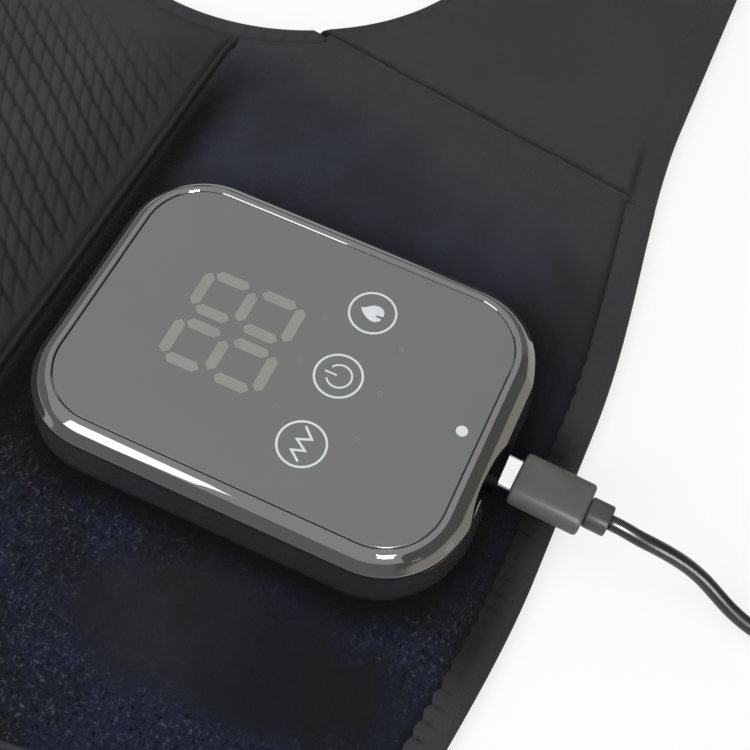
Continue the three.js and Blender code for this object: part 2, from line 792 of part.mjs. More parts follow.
const upperOuter = loft([
  caseRing(partingFlare, partingDrop - partingGap / 2),
  ...profileRings(upperProfileShares).reverse(),
]);
const upperCuts = [
  plate(roundedRectangle(panelWidth / 2 + panelGap, panelLength / 2 + panelGap, panelCorner + panelGap, 6),
    recessDepth + cutOverrun).translate(0, 0, -recessDepth),
  plate(roundedRectangle(panelWidth / 2 - ledgeWidth, panelLength / 2 - ledgeWidth, panelCorner - ledgeWidth, 6),
    partingDrop + cutOverrun).translate(0, 0, -partingDrop - cutOverrun / 2),
  loft([
    caseRing(innerPartingFlare, partingDrop + cutOverrun),
    caseRing(innerPartingFlare, partingDrop),
    caseRing(panelGap + ledgeThickness, ledgeBottom),
  ]),
];
place("upper_housing", cut(upperOuter, upperCuts), materials.case, controller);

// Lower case: shell with bosses, port scoop and port collar
const lowerOuter = loft([
  ...profileRings(lowerProfileShares).reverse(),
  caseRing(partingFlare, partingDrop + partingGap / 2),
]);
const floorFlareShare = lowerProfileShares[lowerProfileShares.length - 2][0];
const hollow = loft([
  caseRing(caseFlare * floorFlareShare - caseWall, caseHeight - caseFloor),
  ...profileRings(lowerProfileShares.slice(0, -2), caseWall).reverse(),
  caseRing(innerPartingFlare, partingDrop),
  caseRing(innerPartingFlare, partingDrop - cutOverrun),
]);
const portBlock = box(scoopWidth + 2 * caseWall, caseFlare * 2, caseHeight * 2,
  0, -(scoopWallY - caseWall) - caseFlare, -caseHeight);
const scoopOutline = [[-0.5, 1], [-0.5, 0.3], [-0.44, 0.08], [-0.36, 0], [0.36, 0], [0.44, 0.08], [0.5, 0.3], [0.5, 1]]
  .map(([acrossShare, outShare]) => [scoopWidth * acrossShare, -scoopWallY - caseFlare * outShare]);
const scoop = plate(scoopOutline, caseHeight + 2 * cutOverrun).translate(0, 0, -caseHeight - cutOverrun);

// A rounded rectangle pushed out towards -Y, from one distance to another
function pushedOut(width, height, radius, from, to, cornerSteps = 4) {
  return plate(roundedRectangle(width / 2, height / 2, radius, cornerSteps), to - from)
    .translate(0, 0, from).rotateX(Math.PI / 2);
}

const collar = pushedOut(collarWidth, collarHeight, collarCorner, scoopWallY - caseWall, collarReach)
  .translate(0, 0, -portDrop);
const portHole = pushedOut(socketWidth + 2 * seatGap, socketHeight + 2 * seatGap, socketHeight / 2,
  scoopWallY - caseWall - cutOverrun, collarReach + cutOverrun).translate(0, 0, -portDrop);
const boardBottomZ = -portDrop + socketHeight / 2 + seatGap;
const boardTopZ = boardBottomZ + boardThickness;
const floorZ = -caseHeight + caseFloor;
const bosses = screwPlaces.map(([x, y]) => {
  const height = boardBottomZ - seatGap - floorZ + caseFloor / 2;
  return cylinder(bossRadius, height, 16)
    .translate(x - controllerX, y - controllerY, floorZ - caseFloor / 2 + height / 2);
});
const bossHoles = screwPlaces.map(([x, y]) => screwHole(x - controllerX, y - controllerY,
  -caseHeight - cutOverrun, screwTipZ - controllerZ + seatGap));
const innerHollow = cut(hollow, [portBlock]);
const shell = cut(lowerOuter, [innerHollow, scoop]);
place("lower_housing", cut(joined(shell, [...bosses, collar]), [...bossHoles, portHole]), materials.case, controller);

// Board and what is on it
const overBoardZ = boardTopZ + seatGap;
const underWindowZ = -recessDepth;
const overBoardHeight = underWindowZ - overBoardZ;
place("main_circuit_board",
  plate(roundedRectangle(boardWidth / 2, boardLength / 2, boardCorner, 3), boardThickness),
  materials.board, controller, 0, -boardShortfall / 2, boardBottomZ);
place("digit_display", box(displayWidth, displayLength, overBoardHeight), materials.digit, controller,
  0, displayCentreY, overBoardZ + overBoardHeight / 2);
for (const [name, step] of [["flame", 1], ["power", 0], ["vibration", -1]]) {
  const points = [];
  const travel = overBoardHeight - 2 * springWire;
  for (let i = 0; i <= springTurns * springSteps; i += 1) {
    const turns = i / springSteps;
    const angle = turns * Math.PI * 2;
    points.push([springRadius * Math.cos(angle), springRadius * Math.sin(angle), travel * turns / springTurns]);
  }
  place(`${name}_touch_spring`, tube(points, springWire, springSides), materials.steel, controller,
    step * keyPitch, keyY, overBoardZ + springWire);
}
place("charge_light", cylinder(lightRadius, overBoardHeight, 12), materials.light, controller,
  0, lightY, overBoardZ + overBoardHeight / 2);
place("beeper", cylinder(beeperRadius, beeperHeight, 16), materials.blackPlastic, controller,
  beeperX, beeperY, boardBottomZ - seatGap - beeperHeight / 2);
place("battery_cell",
  plate(roundedRectangle(batteryWidth / 2, batteryLength / 2, batteryEdge, 3), batteryThickness),
  materials.battery, controller, 0, batteryCentreY, floorZ + seatGap);
const socketMouth = collarReach - seatGap;
const socketBack = socketMouth - socketDepth;
const socketShell = pushedOut(socketWidth, socketHeight, socketHeight / 2, socketBack, socketMouth);
const socketInner = pushedOut(socketWidth - 2 * socketWall, socketHeight - 2 * socketWall,
  socketHeight / 2 - socketWall, socketBack + tongueBack, socketMouth + cutOverrun);
const tongue = pushedOut(tongueWidth, tongueHeight, tongueHeight / 4, socketBack + tongueBack / 2,
  socketMouth - tongueFrontGap, 1);
place("usb_socket", joined(cut(socketShell, [socketInner]), [tongue]), materials.steel, controller,
  0, 0, -portDrop);

// Charging lead: the plug is drawn from the port's mouth outwards, a little askew as it hangs in the port
const lead = new THREE.Group();
lead.position.set(controllerX, controllerY - collarReach, controllerZ - portDrop);
lead.rotation.z = -plugYaw * Math.PI / 180;
part.add(lead);
const plugTip = plugShellShown - plugShellLength;
const plugShell = cut(
  pushedOut(plugShellWidth, plugShellHeight, plugShellHeight / 2, plugTip, plugShellShown),
  [pushedOut(plugShellWidth - 2 * plugShellWall, plugShellHeight - 2 * plugShellWall,
    plugShellHeight / 2 - plugShellWall, plugTip - cutOverrun, plugShellShown - plugShellBack)]);
place("usb_c_shell", plugShell, materials.steel, lead);

// A rounded block along -Y whose ends are drawn in
function softBlock(width, height, radius, from, to, endRound) {
  const rings = [[0, endRound], [endRound * 0.3, endRound * 0.3], [endRound, 0]];
  const places = [
    ...rings.map(([along, inward]) => [from + along, inward]),
    ...[...rings].reverse().map(([along, inward]) => [to - along, inward]),
  ];
  return loft(places.map(([along, inward]) => roundedRectangle(
    width / 2 - inward, height / 2 - inward, Math.max(radius - inward, endRound * 0.3), 4,
  ).map(([x, y]) => [x, y, along]))).rotateX(Math.PI / 2);
}

const gripStart = plugShellShown + seatGap;
const gripEnd = gripStart + gripLength;
const neckStart = gripEnd + seatGap;
const neckEnd = neckStart + neckLength;
place("plug_overmould", softBlock(gripWidth, gripHeight, gripHeight / 2 - gripRound / 4, gripStart, gripEnd,
  gripEndRound), materials.greyPlastic, lead);
place("strain_relief", loft([[neckStart, 0], [neckEnd - neckLength / 4, neckTaper / 2], [neckEnd, neckTaper]]
  .map(([along, inward]) => roundedRectangle(
    neckWidth / 2 - inward, neckHeight / 2 - inward, neckHeight / 2 - inward - neckFlat, 4,
  ).map(([x, y]) => [x, y, along]))).rotateX(Math.PI / 2), materials.greyPlastic, lead);

// Free cord: from the neck over the wrap's end down to the resting surface and on to the coil
const coilZ = tieThickness + tieGap + cordRadius;
const coilOuterRadius = coilInnerRadius + coilTurnsIn * coilPitch;
const coilStartX = coilX - coilOuterRadius;
const coilStartY = coilY + 2 * cordRadius;
lead.updateMatrix();
const cordStart = new THREE.Vector3(0, -(neckEnd + seatGap), 0).applyMatrix4(lead.matrix);
const cordLeaving = new THREE.Vector3(0, -(neckEnd + seatGap + 3 * cordRadius / 2), 0).applyMatrix4(lead.matrix);
const cordRoute = [
  [-7.5, -164.4, 17.0],
  [-7.2, -168.0, 15.9],
  [-6.8, -171.7, 14.3],
  [-6.5, -175.0, 12.6],
  [-6.4, -178.2, 10.7],
  [-6.7, -181.7, 8.6],
  [-7.5, -185.5, 6.3],
  [-8.5, -189.4, 4.4],
  [-9.4, -194.3, 2.7],
  [-10.1, -200.5, 1.9],
  [-10.3, -207.5, 1.75],
  [-10.3, -215.0, 1.9],
  [-10.2, -222.0, 2.4],
  [-10.2, -227.0, 2.7],
];
const cordCurve = new THREE.CatmullRomCurve3([
  cordStart,
  cordLeaving,
  ...cordRoute.map((point) => new THREE.Vector3(...point)),
  new THREE.Vector3(coilStartX, coilStartY + seatGap, coilZ),
]);
const cordSection = new THREE.Shape(Array.from({ length: cordSides }, (_, k) => new THREE.Vector2(
  cordRadius * Math.cos((k + 0.5) / cordSides * Math.PI * 2),
  cordRadius * Math.sin((k + 0.5) / cordSides * Math.PI * 2),
)));
place("cord_run", new THREE.ExtrudeGeometry(cordSection, { steps: cordSteps, extrudePath: cordCurve, bevelEnabled: false }),
  materials.cord);

// Coil: in along the lower layer, up a layer in half a turn, out along the upper layer, then a straight tail
const coilPoints = [[coilStartX, coilStartY, coilZ]];

function coilPoint(turns, radius, z) {
  const angle = Math.PI * (1 + 2 * turns);
  coilPoints.push([coilX + radius * Math.cos(angle), coilY + radius * Math.sin(angle), z]);
}

for (let i = 0; i <= coilTurnsIn * coilStepsPerTurn; i += 1) {
  const turns = i / coilStepsPerTurn;
  coilPoint(turns, coilOuterRadius - coilPitch * turns, coilZ);
}
const climbSteps = coilStepsPerTurn / 2;
for (let i = 1; i <= climbSteps; i += 1) {
  const share = i / climbSteps;
  coilPoint(coilTurnsIn + share / 2, coilInnerRadius - coilClimbDip * Math.sin(Math.PI * share),
    coilZ + coilLayerRise * smooth(share));
}
for (let i = 1; i <= coilTurnsOut * coilStepsPerTurn; i += 1) {
  const turns = i / coilStepsPerTurn;
  coilPoint(coilTurnsIn + 0.5 + turns, coilInnerRadius + coilPitch * turns, coilZ + coilLayerRise);
}
const [tailX, tailY, tailZ] = coilPoints[coilPoints.length - 1];
const tailEndZ = usbAHeight / 2;
const tailSteps = 8;
const tailStraight = 2 * cordRadius;
for (let i = 1; i <= tailSteps; i += 1) {
  const along = (tailLength - tailStraight) * i / tailSteps;
  const lowering = smooth((along - tailLevel) / (tailLength - tailStraight - tailLevel));
  coilPoints.push([tailX + along, tailY, mix(tailZ, tailEndZ, lowering)]);
}
coilPoints.push([tailX + tailLength, tailY, tailEndZ]);
place("cord_coil", tube(coilPoints, cordRadius, coilSides), materials.cord);

// Least gap between stretches of the coil's cord that aren't neighbours along it
function leastGap(points, radius) {
  const nearby = 6 * radius;
  const along = [0];
  for (let i = 1; i < points.length; i += 1) {
    along.push(along[i - 1] + Math.hypot(...points[i].map((value, k) => value - points[i - 1][k])));
  }
  let least = Infinity;
  for (let i = 0; i < points.length; i += 1) {
    for (let j = i + 1; j < points.length; j += 1) {
      if (along[j] - along[i] < nearby) continue;
      least = Math.min(least, Math.hypot(...points[i].map((value, k) => value - points[j][k])));
    }
  }
  return { gap: least - 2 * radius, length: along[along.length - 1] };
}

const coilMeasure = leastGap(coilPoints, cordRadius);
console.log(`coil: least gap ${coilMeasure.gap.toFixed(2)}, cord in it ${coilMeasure.length.toFixed(0)}`);
console.log(`free cord ${cordCurve.getLength().toFixed(0)}`);

// Tie round the coil's turns
const tieLow = Math.sqrt((coilInnerRadius - coilClimbDip - cordRadius) ** 2 - (tieWidth / 2) ** 2) - tieGap;
const tieHigh = coilOuterRadius - coilPitch * 0.7 + cordRadius + tieGap;
const tieTop = coilLayerRise + 2 * cordRadius + 2 * tieGap + 2 * tieThickness;
const tieOuter = [
  [tieLow - tieThickness, 0], [tieHigh + tieThickness, 0],
  [tieHigh + tieThickness, tieTop], [tieLow - tieThickness, tieTop],
];
const tieInner = [
  [tieLow, tieThickness], [tieHigh, tieThickness],
  [tieHigh, tieTop - tieThickness], [tieLow, tieTop - tieThickness],
];
const tie = plate(tieOuter, tieWidth, [tieInner]).applyMatrix4(new THREE.Matrix4().makeBasis(
  new THREE.Vector3(0, 1, 0), new THREE.Vector3(0, 0, 1), new THREE.Vector3(1, 0, 0)));
place("coil_tie", tie.translate(-tieWidth / 2, 0, 0), materials.blackPlastic, part, coilX, coilY, 0);

// Far plug, lying on the surface beside the coil and looking along +X
const farPlug = new THREE.Group();
farPlug.position.set(tailX + tailLength + seatGap, tailY, tailEndZ);
farPlug.rotation.z = Math.PI / 2;
part.add(farPlug);
place("usb_a_overmould", softBlock(usbAWidth, usbAHeight, usbACorner, 0, usbALength, gripEndRound),
  materials.greyPlastic, farPlug);
const farShellStart = usbALength + seatGap;
const farShellEnd = farShellStart + usbAShellLength;
place("usb_a_shell", cut(
  pushedOut(usbAShellWidth, usbAShellHeight, usbAShellWall, farShellStart, farShellEnd, 1),
  [pushedOut(usbAShellWidth - 2 * usbAShellWall, usbAShellHeight - 2 * usbAShellWall, usbAShellWall / 2,
    farShellStart + 2 * usbAShellWall, farShellEnd + cutOverrun, 1)]), materials.steel, farPlug);

export default part;
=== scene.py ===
"""Looks of the heated knee massager: cloth, controller, icons, charging lead, stage and camera."""

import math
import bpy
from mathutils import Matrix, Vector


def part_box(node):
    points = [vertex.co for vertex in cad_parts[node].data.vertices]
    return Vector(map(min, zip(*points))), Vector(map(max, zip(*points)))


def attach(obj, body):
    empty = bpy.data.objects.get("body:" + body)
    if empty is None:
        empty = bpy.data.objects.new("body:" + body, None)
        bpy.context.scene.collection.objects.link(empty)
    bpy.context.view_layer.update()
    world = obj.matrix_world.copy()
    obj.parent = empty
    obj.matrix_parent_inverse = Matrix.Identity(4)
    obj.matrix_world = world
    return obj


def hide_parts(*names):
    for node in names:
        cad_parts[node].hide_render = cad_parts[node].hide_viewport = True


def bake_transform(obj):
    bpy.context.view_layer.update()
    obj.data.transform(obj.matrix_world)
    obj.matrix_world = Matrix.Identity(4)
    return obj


bl_info = {
    "name": "Heated knee massager",
    "version": (1, 0, 0),
    "blender": (4, 5, 0),
    "location": "View3D > Sidebar > Knee massager",
    "description": "Builds the knee wrap, its controller and its charging lead around the packed frame",
    "category": "Object",
}

import bpy
import numpy as np
from bpy.props import FloatProperty, FloatVectorProperty, PointerProperty
from mathutils import Matrix, Vector
from mathutils.bvhtree import BVHTree

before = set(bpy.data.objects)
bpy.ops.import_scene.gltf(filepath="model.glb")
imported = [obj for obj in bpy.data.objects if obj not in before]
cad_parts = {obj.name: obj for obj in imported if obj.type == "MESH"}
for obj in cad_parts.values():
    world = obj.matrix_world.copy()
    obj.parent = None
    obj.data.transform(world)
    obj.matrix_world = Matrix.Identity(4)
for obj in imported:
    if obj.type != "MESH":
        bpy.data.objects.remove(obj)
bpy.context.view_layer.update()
window_low, window_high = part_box("display_panel")


def length(name, default, description):
    return FloatProperty(name=name, description=description, default=default, min=0.0, unit="LENGTH", precision=5)


def colour(name, default, description):
    return FloatVectorProperty(
        name=name, description=description, default=default, size=3, min=0.0, max=1.0, subtype="COLOR"
    )


class WrapSizes(bpy.types.PropertyGroup):
    """Sizes of the cloth wrap"""

    strap_reach: length("Strap reach", 0.355, "From the middle of the wrap to the end of a strap")
    strap_bottom: length("Strap outer edge", 0.1389, "From the middle of the wrap to a strap's outer edge")
    strap_corner: length("Strap corner", 0.018, "Radius of the strap's end corners")
    hem_bulge: length("Hem bulge", 0.0089, "How far the ends of the wrap bow out")
    bulge_flat: length("Bulge flat", 0.020, "Half width of the straight part of the bow")
    bulge_end: length("Bulge end", 0.120, "Half width at which the bow ends")
    notch_radius: length("Side notch radius", 0.069, "Radius of the round notches in the sides")
    notch_fullness: length("Notch fullness", 0.0018, "How far the padded hem stands out into a notch")
    notch_depth: length("Side notch place", 0.0945, "From the middle of the wrap to the bottom of a notch")
    seam_top: length("Seam top", 0.037, "Where a strap seam meets its notch")
    seam_draw: length("Seam draw", 0.0051, "How far the outer end of a strap seam is drawn in")
    hem_width: length("Hem width", 0.006, "Width of the turned hem along the notches")
    border_width: length("Border width", 0.0084, "Width of the turned border across the ends")
    border_height: length("Border height", 0.0050, "Height of the turned border and hem")
    groove_y: FloatProperty(
        name="Groove place", description="Where the pad meets the pile panel", default=-0.016, unit="LENGTH"
    )
    lining: length("Lining thickness", 0.0014, "Thickness of the lining")
    edge_height: length("Edge height", 0.0044, "Height of the covers where they meet the hem")
    groove_height: length("Groove height", 0.0060, "Height of the covers in the groove")
    pile_crown: length("Pile crown", 0.0080, "Height of the pile panel")
    pile_roll: length("Pile roll", 0.016, "Width of the pile panel's rounded edge")
    pile_groove_roll: length("Pile groove roll", 0.007, "Width of the pile panel's roll into the groove")
    pad_crown: length("Pad crown", 0.0146, "Height of the knee pad")
    pad_roll: length("Pad roll", 0.038, "Width of the knee pad's rounded edge")
    pad_groove_roll: length("Pad groove roll", 0.046, "Width of the knee pad's roll into the groove")
    strap_thickness: length("Strap thickness", 0.0046, "Thickness of a strap")
    scale_length: length("Scale length", 0.0058, "Length of the knee pad's woven scales")
    scale_width: length("Scale width", 0.0047, "Distance between rows of scales")
    scale_relief: length("Scale relief", 0.0009, "Height of the woven scales")
    stitch_pitch: length("Stitch pitch", 0.0042, "Distance between stitches")
    stitch_inset: length("Stitch inset", 0.0075, "From the edge to the hem's stitches")


class ControllerSizes(bpy.types.PropertyGroup):
    """Sizes of the controller"""

    corner: length("Window corner", 0.0136, "Corner radius of the window")
    thickness: length("Window thickness", 0.0015, "Thickness of the window")
    flare: length("Case flare", 0.0064, "How far the case stands out beyond the window")
    height: length("Case height", 0.019, "Height of the case")
    wall: length("Wall", 0.0018, "Wall thickness of the case")
    digit_stroke: length("Digit stroke", 0.00255, "Width of a segment of the digits")
    icon_radius: length("Icon radius", 0.00555, "Radius of the touch icons' rings")
    icon_stroke: length("Icon stroke", 0.00052, "Width of the icons' lines")
    light_radius: length("Charge light radius", 0.0013, "Radius of the charge light")
    port_drop: length("Port drop", 0.0094, "From the window down to the middle of the port")


class LeadSizes(bpy.types.PropertyGroup):
    """Sizes of the charging lead"""

    cord_radius: length("Cord radius", 0.00175, "Radius of the cord")
    coil_inner: length("Coil inner radius", 0.012, "Radius of the coil's innermost turn")
    coil_pitch: length("Coil pitch", 0.00405, "Distance between turns of the coil")
    tie_width: length("Tie width", 0.006, "Width of the coil's tie")


class Finishes(bpy.types.PropertyGroup):
    """Colours of the pieces"""

    window: colour("Window", (0.121, 0.126, 0.124), "The smoked window")
    case: colour("Case", (0.0232, 0.0237, 0.0242), "The gloss case")
    digits: colour("Digits", (0.232, 0.236, 0.212), "The unlit digits")
    icons: colour("Icons", (0.62, 0.67, 0.68), "The touch icons")
    pad: colour("Pad", (0.0470, 0.0470, 0.0463), "The knee pad's woven cover")
    pile: colour("Pile", (0.0085, 0.0092, 0.0112), "The pile panel")
    fleck: colour("Pile fleck", (0.0100, 0.0128, 0.0290), "The navy tint of the pile")
    strap: colour("Strap", (0.0414, 0.0422, 0.0450), "Straps and hem")
    grip: colour("Grip", (0.090, 0.094, 0.090), "The plug's grip")
    neck: colour("Neck", (0.062, 0.065, 0.062), "The plug's neck and the far plug's grip")
    cord: colour("Cord", (0.011, 0.011, 0.010), "The cord's sheath")


GROUPS = {
    "knee_wrap": WrapSizes, "knee_controller": ControllerSizes, "knee_lead": LeadSizes, "knee_finishes": Finishes,
}


def wrap():
    return bpy.context.scene.knee_wrap


def controller():
    return bpy.context.scene.knee_controller


def lead():
    return bpy.context.scene.knee_lead


def finish_of(name):
    return tuple(getattr(bpy.context.scene.knee_finishes, name))


# Small sums


def clamped(t):
    return np.clip(t, 0.0, 1.0)


def smooth(t):
    t = clamped(t)
    return t * t * (3 - 2 * t)


def ease(t):
    t = clamped(t)
    return t * (2 - t)


def mix(a, b, t):
    return a + (b - a) * t


def bell(value, middle, width):
    """1 at the middle, falling to 0 within about two widths"""
    return np.exp(-(((value - middle) / width) ** 2))


def quarter_round(distance, reach, least=0):
    """From 0 at an edge to 1 at its reach, along a quarter of a circle"""
    return np.sqrt(np.maximum(1 - (1 - clamped(distance / reach)) ** 2, least))


def unit(vectors):
    return vectors / np.linalg.norm(vectors, axis=1)[:, None]


def run_along(path):
    """Length of a path up to each of its places"""
    return np.concatenate([[0], np.cumsum(np.linalg.norm(np.diff(path, axis=0), axis=1))])


def evened(path, step, fewest=0):
    """Places along a path, evenly spaced"""
    run = run_along(path)
    even = np.linspace(0, run[-1], max(int(run[-1] / step), fewest) + 1)
    return np.stack([np.interp(even, run, path[:, k]) for k in range(path.shape[1])], 1)


def value_noise(x, y, seed=0):
    """Smooth noise from 0 to 1 on arrays of places, with a pitch of 1"""
    xi, yi = np.floor(x).astype(np.int64), np.floor(y).astype(np.int64)
    xf, yf = smooth(x - xi), smooth(y - yi)

    def corner(i, j):
        n = (i * 374761393 + j * 668265263 + seed * 1442695041) & 0xFFFFFFFF
        n = ((n ^ (n >> 13)) * 1274126177) & 0xFFFFFFFF
        return ((n ^ (n >> 16)) & 0xFFFF) / 65535.0

    low = mix(corner(xi, yi), corner(xi + 1, yi), xf)
    high = mix(corner(xi, yi + 1), corner(xi + 1, yi + 1), xf)
    return mix(low, high, yf)


# Mesh makers


def mesh_object(name, points, faces, material=None):
    """An object in the scene with a mesh of its own"""
    mesh = bpy.data.meshes.new(name)
    mesh.from_pydata(np.asarray(points, float).reshape(-1, 3).tolist(), [], [list(map(int, f)) for f in faces])
    if material:
        mesh.materials.append(material)
    return linked(name, mesh)


def linked(name, data):
    obj = bpy.data.objects.new(name, data)
    bpy.context.scene.collection.objects.link(obj)
    return obj


def rounded_object(name, points, faces, material):
    """An object shaded as a smooth surface"""
    obj = mesh_object(name, points, faces, material)
    obj.data.validate()
    obj.data.update()
    obj.data.polygons.foreach_set("use_smooth", [True] * len(obj.data.polygons))
    return obj


def object_from(name, points, faces, material, body, sharp=None):
    obj = rounded_object(name, points, faces, material)
    if sharp is not None:
        obj.data.set_sharp_from_angle(angle=sharp)
    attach(obj, body)
    return obj


def ring_faces(count, rings, closed=True):
    """Quads between rings of points laid one after another"""
    faces = []
    for ring in range(rings - 1):
        for i in range(count if closed else count - 1):
            a = ring * count + i
            b = ring * count + (i + 1) % count
            faces.append((a, b, b + count, a + count))
    return faces


def lofted(rings):
    """A closed skin through rings of equal size, with a cap at each end"""
    count = len(rings[0])
    points = np.concatenate([np.asarray(r, float) for r in rings])
    faces = ring_faces(count, len(rings))
    last = (len(rings) - 1) * count
    faces.append(tuple(range(count - 1, -1, -1)))
    faces.append(tuple(range(last, last + count)))
    return points, faces


def looped(rings):
    """A closed skin through rings of equal size, the last joined to the first"""
    count = len(rings[0])
    last = (len(rings) - 1) * count
    faces = ring_faces(count, len(rings))
    faces += [(last + i, last + (i + 1) % count, (i + 1) % count, i) for i in range(count)]
    return np.concatenate(rings), faces


def rounded_ring(half_x, half_y, radius, steps=14):
    points = []
    for corner in range(4):
        cx = (half_x - radius) * (1 if corner in (0, 3) else -1)
        cy = (half_y - radius) * (1 if corner < 2 else -1)
        for i in range(steps + 1):
            angle = (corner + i / steps) * math.pi / 2
            points.append((cx + radius * math.cos(angle), cy + radius * math.sin(angle)))
    return np.array(points)


def tube_rings(path, radius, sides=16):
    """Rings round a path that keep their turn from one to the next"""
    path = np.asarray(path, float)
    along = unit(np.gradient(path, axis=0))
    side = np.cross(along[0], (0, 0, 1.0))
    side /= np.linalg.norm(side)
    angles = np.arange(sides) / sides * 2 * math.pi
    rings = []
    for p, a in zip(path, along):
        side = side - a * (side @ a)
        side /= np.linalg.norm(side)
        over = np.cross(side, a)
        rings.append(p + radius * (np.cos(angles)[:, None] * side + np.sin(angles)[:, None] * over))
    return rings


def outward(points, faces):
    """Faces turned so that the closed skin looks outwards"""
    p = np.asarray(points, float)
    volume = 0.0
    for f in faces:
        a = p[f[0]]
        for i in range(1, len(f) - 1):
            volume += np.dot(a, np.cross(p[f[i]], p[f[i + 1]]))
    return faces if volume > 0 else [tuple(reversed(f)) for f in faces]


def piece(name, skin, material, body, slot, sharp, *nodes):
    """A closed piece that rides on a body and stands in for nodes of the CAD"""
    points, faces = skin
    obj = object_from(name, points, outward(points, faces), material, body, sharp)
    if nodes:
        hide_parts(*nodes)
    return obj


def merged(pieces):
    """Points and faces of several skins as one"""
    points, faces, offset = [], [], 0
    for p, f in pieces:
        points.append(np.asarray(p, float))
        faces.extend(tuple(i + offset for i in face) for face in f)
        offset += len(p)
    return np.concatenate(points), faces


def quilted(x, y, top, under):
    """A closed skin over a grid of places with its own top and underside"""
    rows, columns = x.shape
    count = rows * columns
    points = np.concatenate([np.stack([x, y, top], -1).reshape(-1, 3), np.stack([x, y, under], -1).reshape(-1, 3)])
    index = np.arange(count).reshape(rows, columns)
    a, b, c, d = index[:-1, :-1], index[:-1, 1:], index[1:, 1:], index[1:, :-1]
    upper = np.stack([a, b, c, d], -1).reshape(-1, 4)
    lower = upper[:, ::-1] + count
    rim = np.concatenate([index[0, :-1], index[:-1, -1], index[-1, :0:-1], index[:0:-1, 0]])
    following = np.roll(rim, -1)
    edge = np.stack([rim + count, following + count, following, rim], -1)
    return points, np.concatenate([upper, lower, edge])


# Outline of the wrap


def seam_line(y):
    w = wrap()
    centre = w.notch_depth + w.notch_radius
    top = centre - math.sqrt(w.notch_radius**2 - w.seam_top**2)
    slope = (top - w.notch_depth + w.seam_draw) / (w.strap_bottom - w.seam_top)
    return top - (np.abs(y) - w.seam_top) * slope


def seam_cosine():
    w = wrap()
    rise = float(seam_line(w.seam_top) - seam_line(w.strap_bottom))
    return 1 / math.hypot(1, rise / (w.strap_bottom - w.seam_top))


def notch_line(y, inset=0.0):
    w = wrap()
    centre = w.notch_depth + w.notch_radius
    return centre - np.sqrt(np.maximum((w.notch_radius - w.notch_fullness + inset) ** 2 - np.asarray(y) ** 2, 0))


def body_edge(y, inset=0.0):
    return np.minimum(notch_line(y, inset), seam_line(y) - 0.0003 - inset)


def end_line(x, inset=0.0):
    w = wrap()
    share = (w.bulge_end - np.abs(x)) / (w.bulge_end - w.bulge_flat)
    return w.strap_bottom + w.hem_bulge * smooth(share) - inset


def cover_limit(y):
    """Half width of the covers: up to the strap seams, and under the hem along the notches"""
    return np.minimum(notch_line(y, wrap().hem_width - 0.0012), seam_line(y) - 0.0008)


def cover_height(x, y, inset):
    """Height of the two covers over a place of the wrap"""
    w = wrap()
    edge = np.maximum(np.minimum(body_edge(y, inset) - np.abs(x), end_line(x, inset) - np.abs(y)), 0)
    groove = np.abs(y - w.groove_y)
    pile = y < w.groove_y
    crown = np.where(pile, w.pile_crown, w.pad_crown)
    from_edge = mix(w.edge_height, crown, ease(edge / np.where(pile, w.pile_roll, w.pad_roll)))
    roll = np.where(pile, w.pile_groove_roll, w.pad_groove_roll)
    from_groove = mix(w.groove_height, crown, ease(groove / roll))
    soft = 0.0009
    return -soft * np.log(np.exp(-from_edge / soft) + np.exp(-from_groove / soft))


def cover_grid(low_of, high_of, rows, columns):
    share = np.linspace(0, 1, rows)[:, None] * np.ones((1, columns))
    across = np.ones((rows, 1)) * np.linspace(-1, 1, columns)[None, :]
    x = across * wrap().notch_depth
    for _ in range(6):
        y = mix(low_of(x), high_of(x), share)
        x = across * cover_limit(y)
    return x, y


# Shader helpers


def joined(tree, node, inputs):
    """The node, with each input set to a value or linked to a socket"""
    for key, value in inputs.items():
        if isinstance(value, bpy.types.NodeSocket):
            tree.links.new(value, node.inputs[key])
        else:
            node.inputs[key].default_value = value
    return node


def put(tree, kind, settings=None, inputs=None):
    """A new node with its settings and inputs"""
    made = tree.nodes.new(kind)
    for key, value in (settings or {}).items():
        setattr(made, key, value)
    return joined(tree, made, inputs or {})


def node_group(name, inputs, outputs, build):
    """A shader node group, built once"""
    found = bpy.data.node_groups.get(name)
    if found:
        return found
    tree = bpy.data.node_groups.new(name, "ShaderNodeTree")
    for label, kind, default in inputs:
        tree.interface.new_socket(name=label, in_out="INPUT", socket_type=kind).default_value = default
    for label, kind in outputs:
        tree.interface.new_socket(name=label, in_out="OUTPUT", socket_type=kind)
    start, end = tree.nodes.new("NodeGroupInput"), tree.nodes.new("NodeGroupOutput")
    joined(tree, end, build(tree, start.outputs))
    return tree


def use_group(tree, group, inputs):
    return put(tree, "ShaderNodeGroup", {"node_tree": group}, inputs).outputs


def maths(tree, operation, a, b, clamp=False):
    return put(tree, "ShaderNodeMath", {"operation": operation, "use_clamp": clamp}, {0: a, 1: b}).outputs[0]


def times(tree, a, b, clamp=False):
    return maths(tree, "MULTIPLY", a, b, clamp)


def plus(tree, a, b, clamp=False):
    return maths(tree, "ADD", a, b, clamp)


def ranged(tree, value, low, high):
    """From 0 at the low value to 1 at the high one, smoothly"""
    return put(tree, "ShaderNodeMapRange", {"interpolation_type": "SMOOTHSTEP"}, {
        "Value": value, "From Min": low, "From Max": high,
    }).outputs[0]


def opaque(tone):
    return tone if isinstance(tone, bpy.types.NodeSocket) else (*tone[:3], 1.0)


def tinted(tree, share, a, b):
    """Colour a turning into colour b with the share"""
    return put(tree, "ShaderNodeMix", {"data_type": "RGBA"}, {0: share, 6: opaque(a), 7: opaque(b)}).outputs[2]


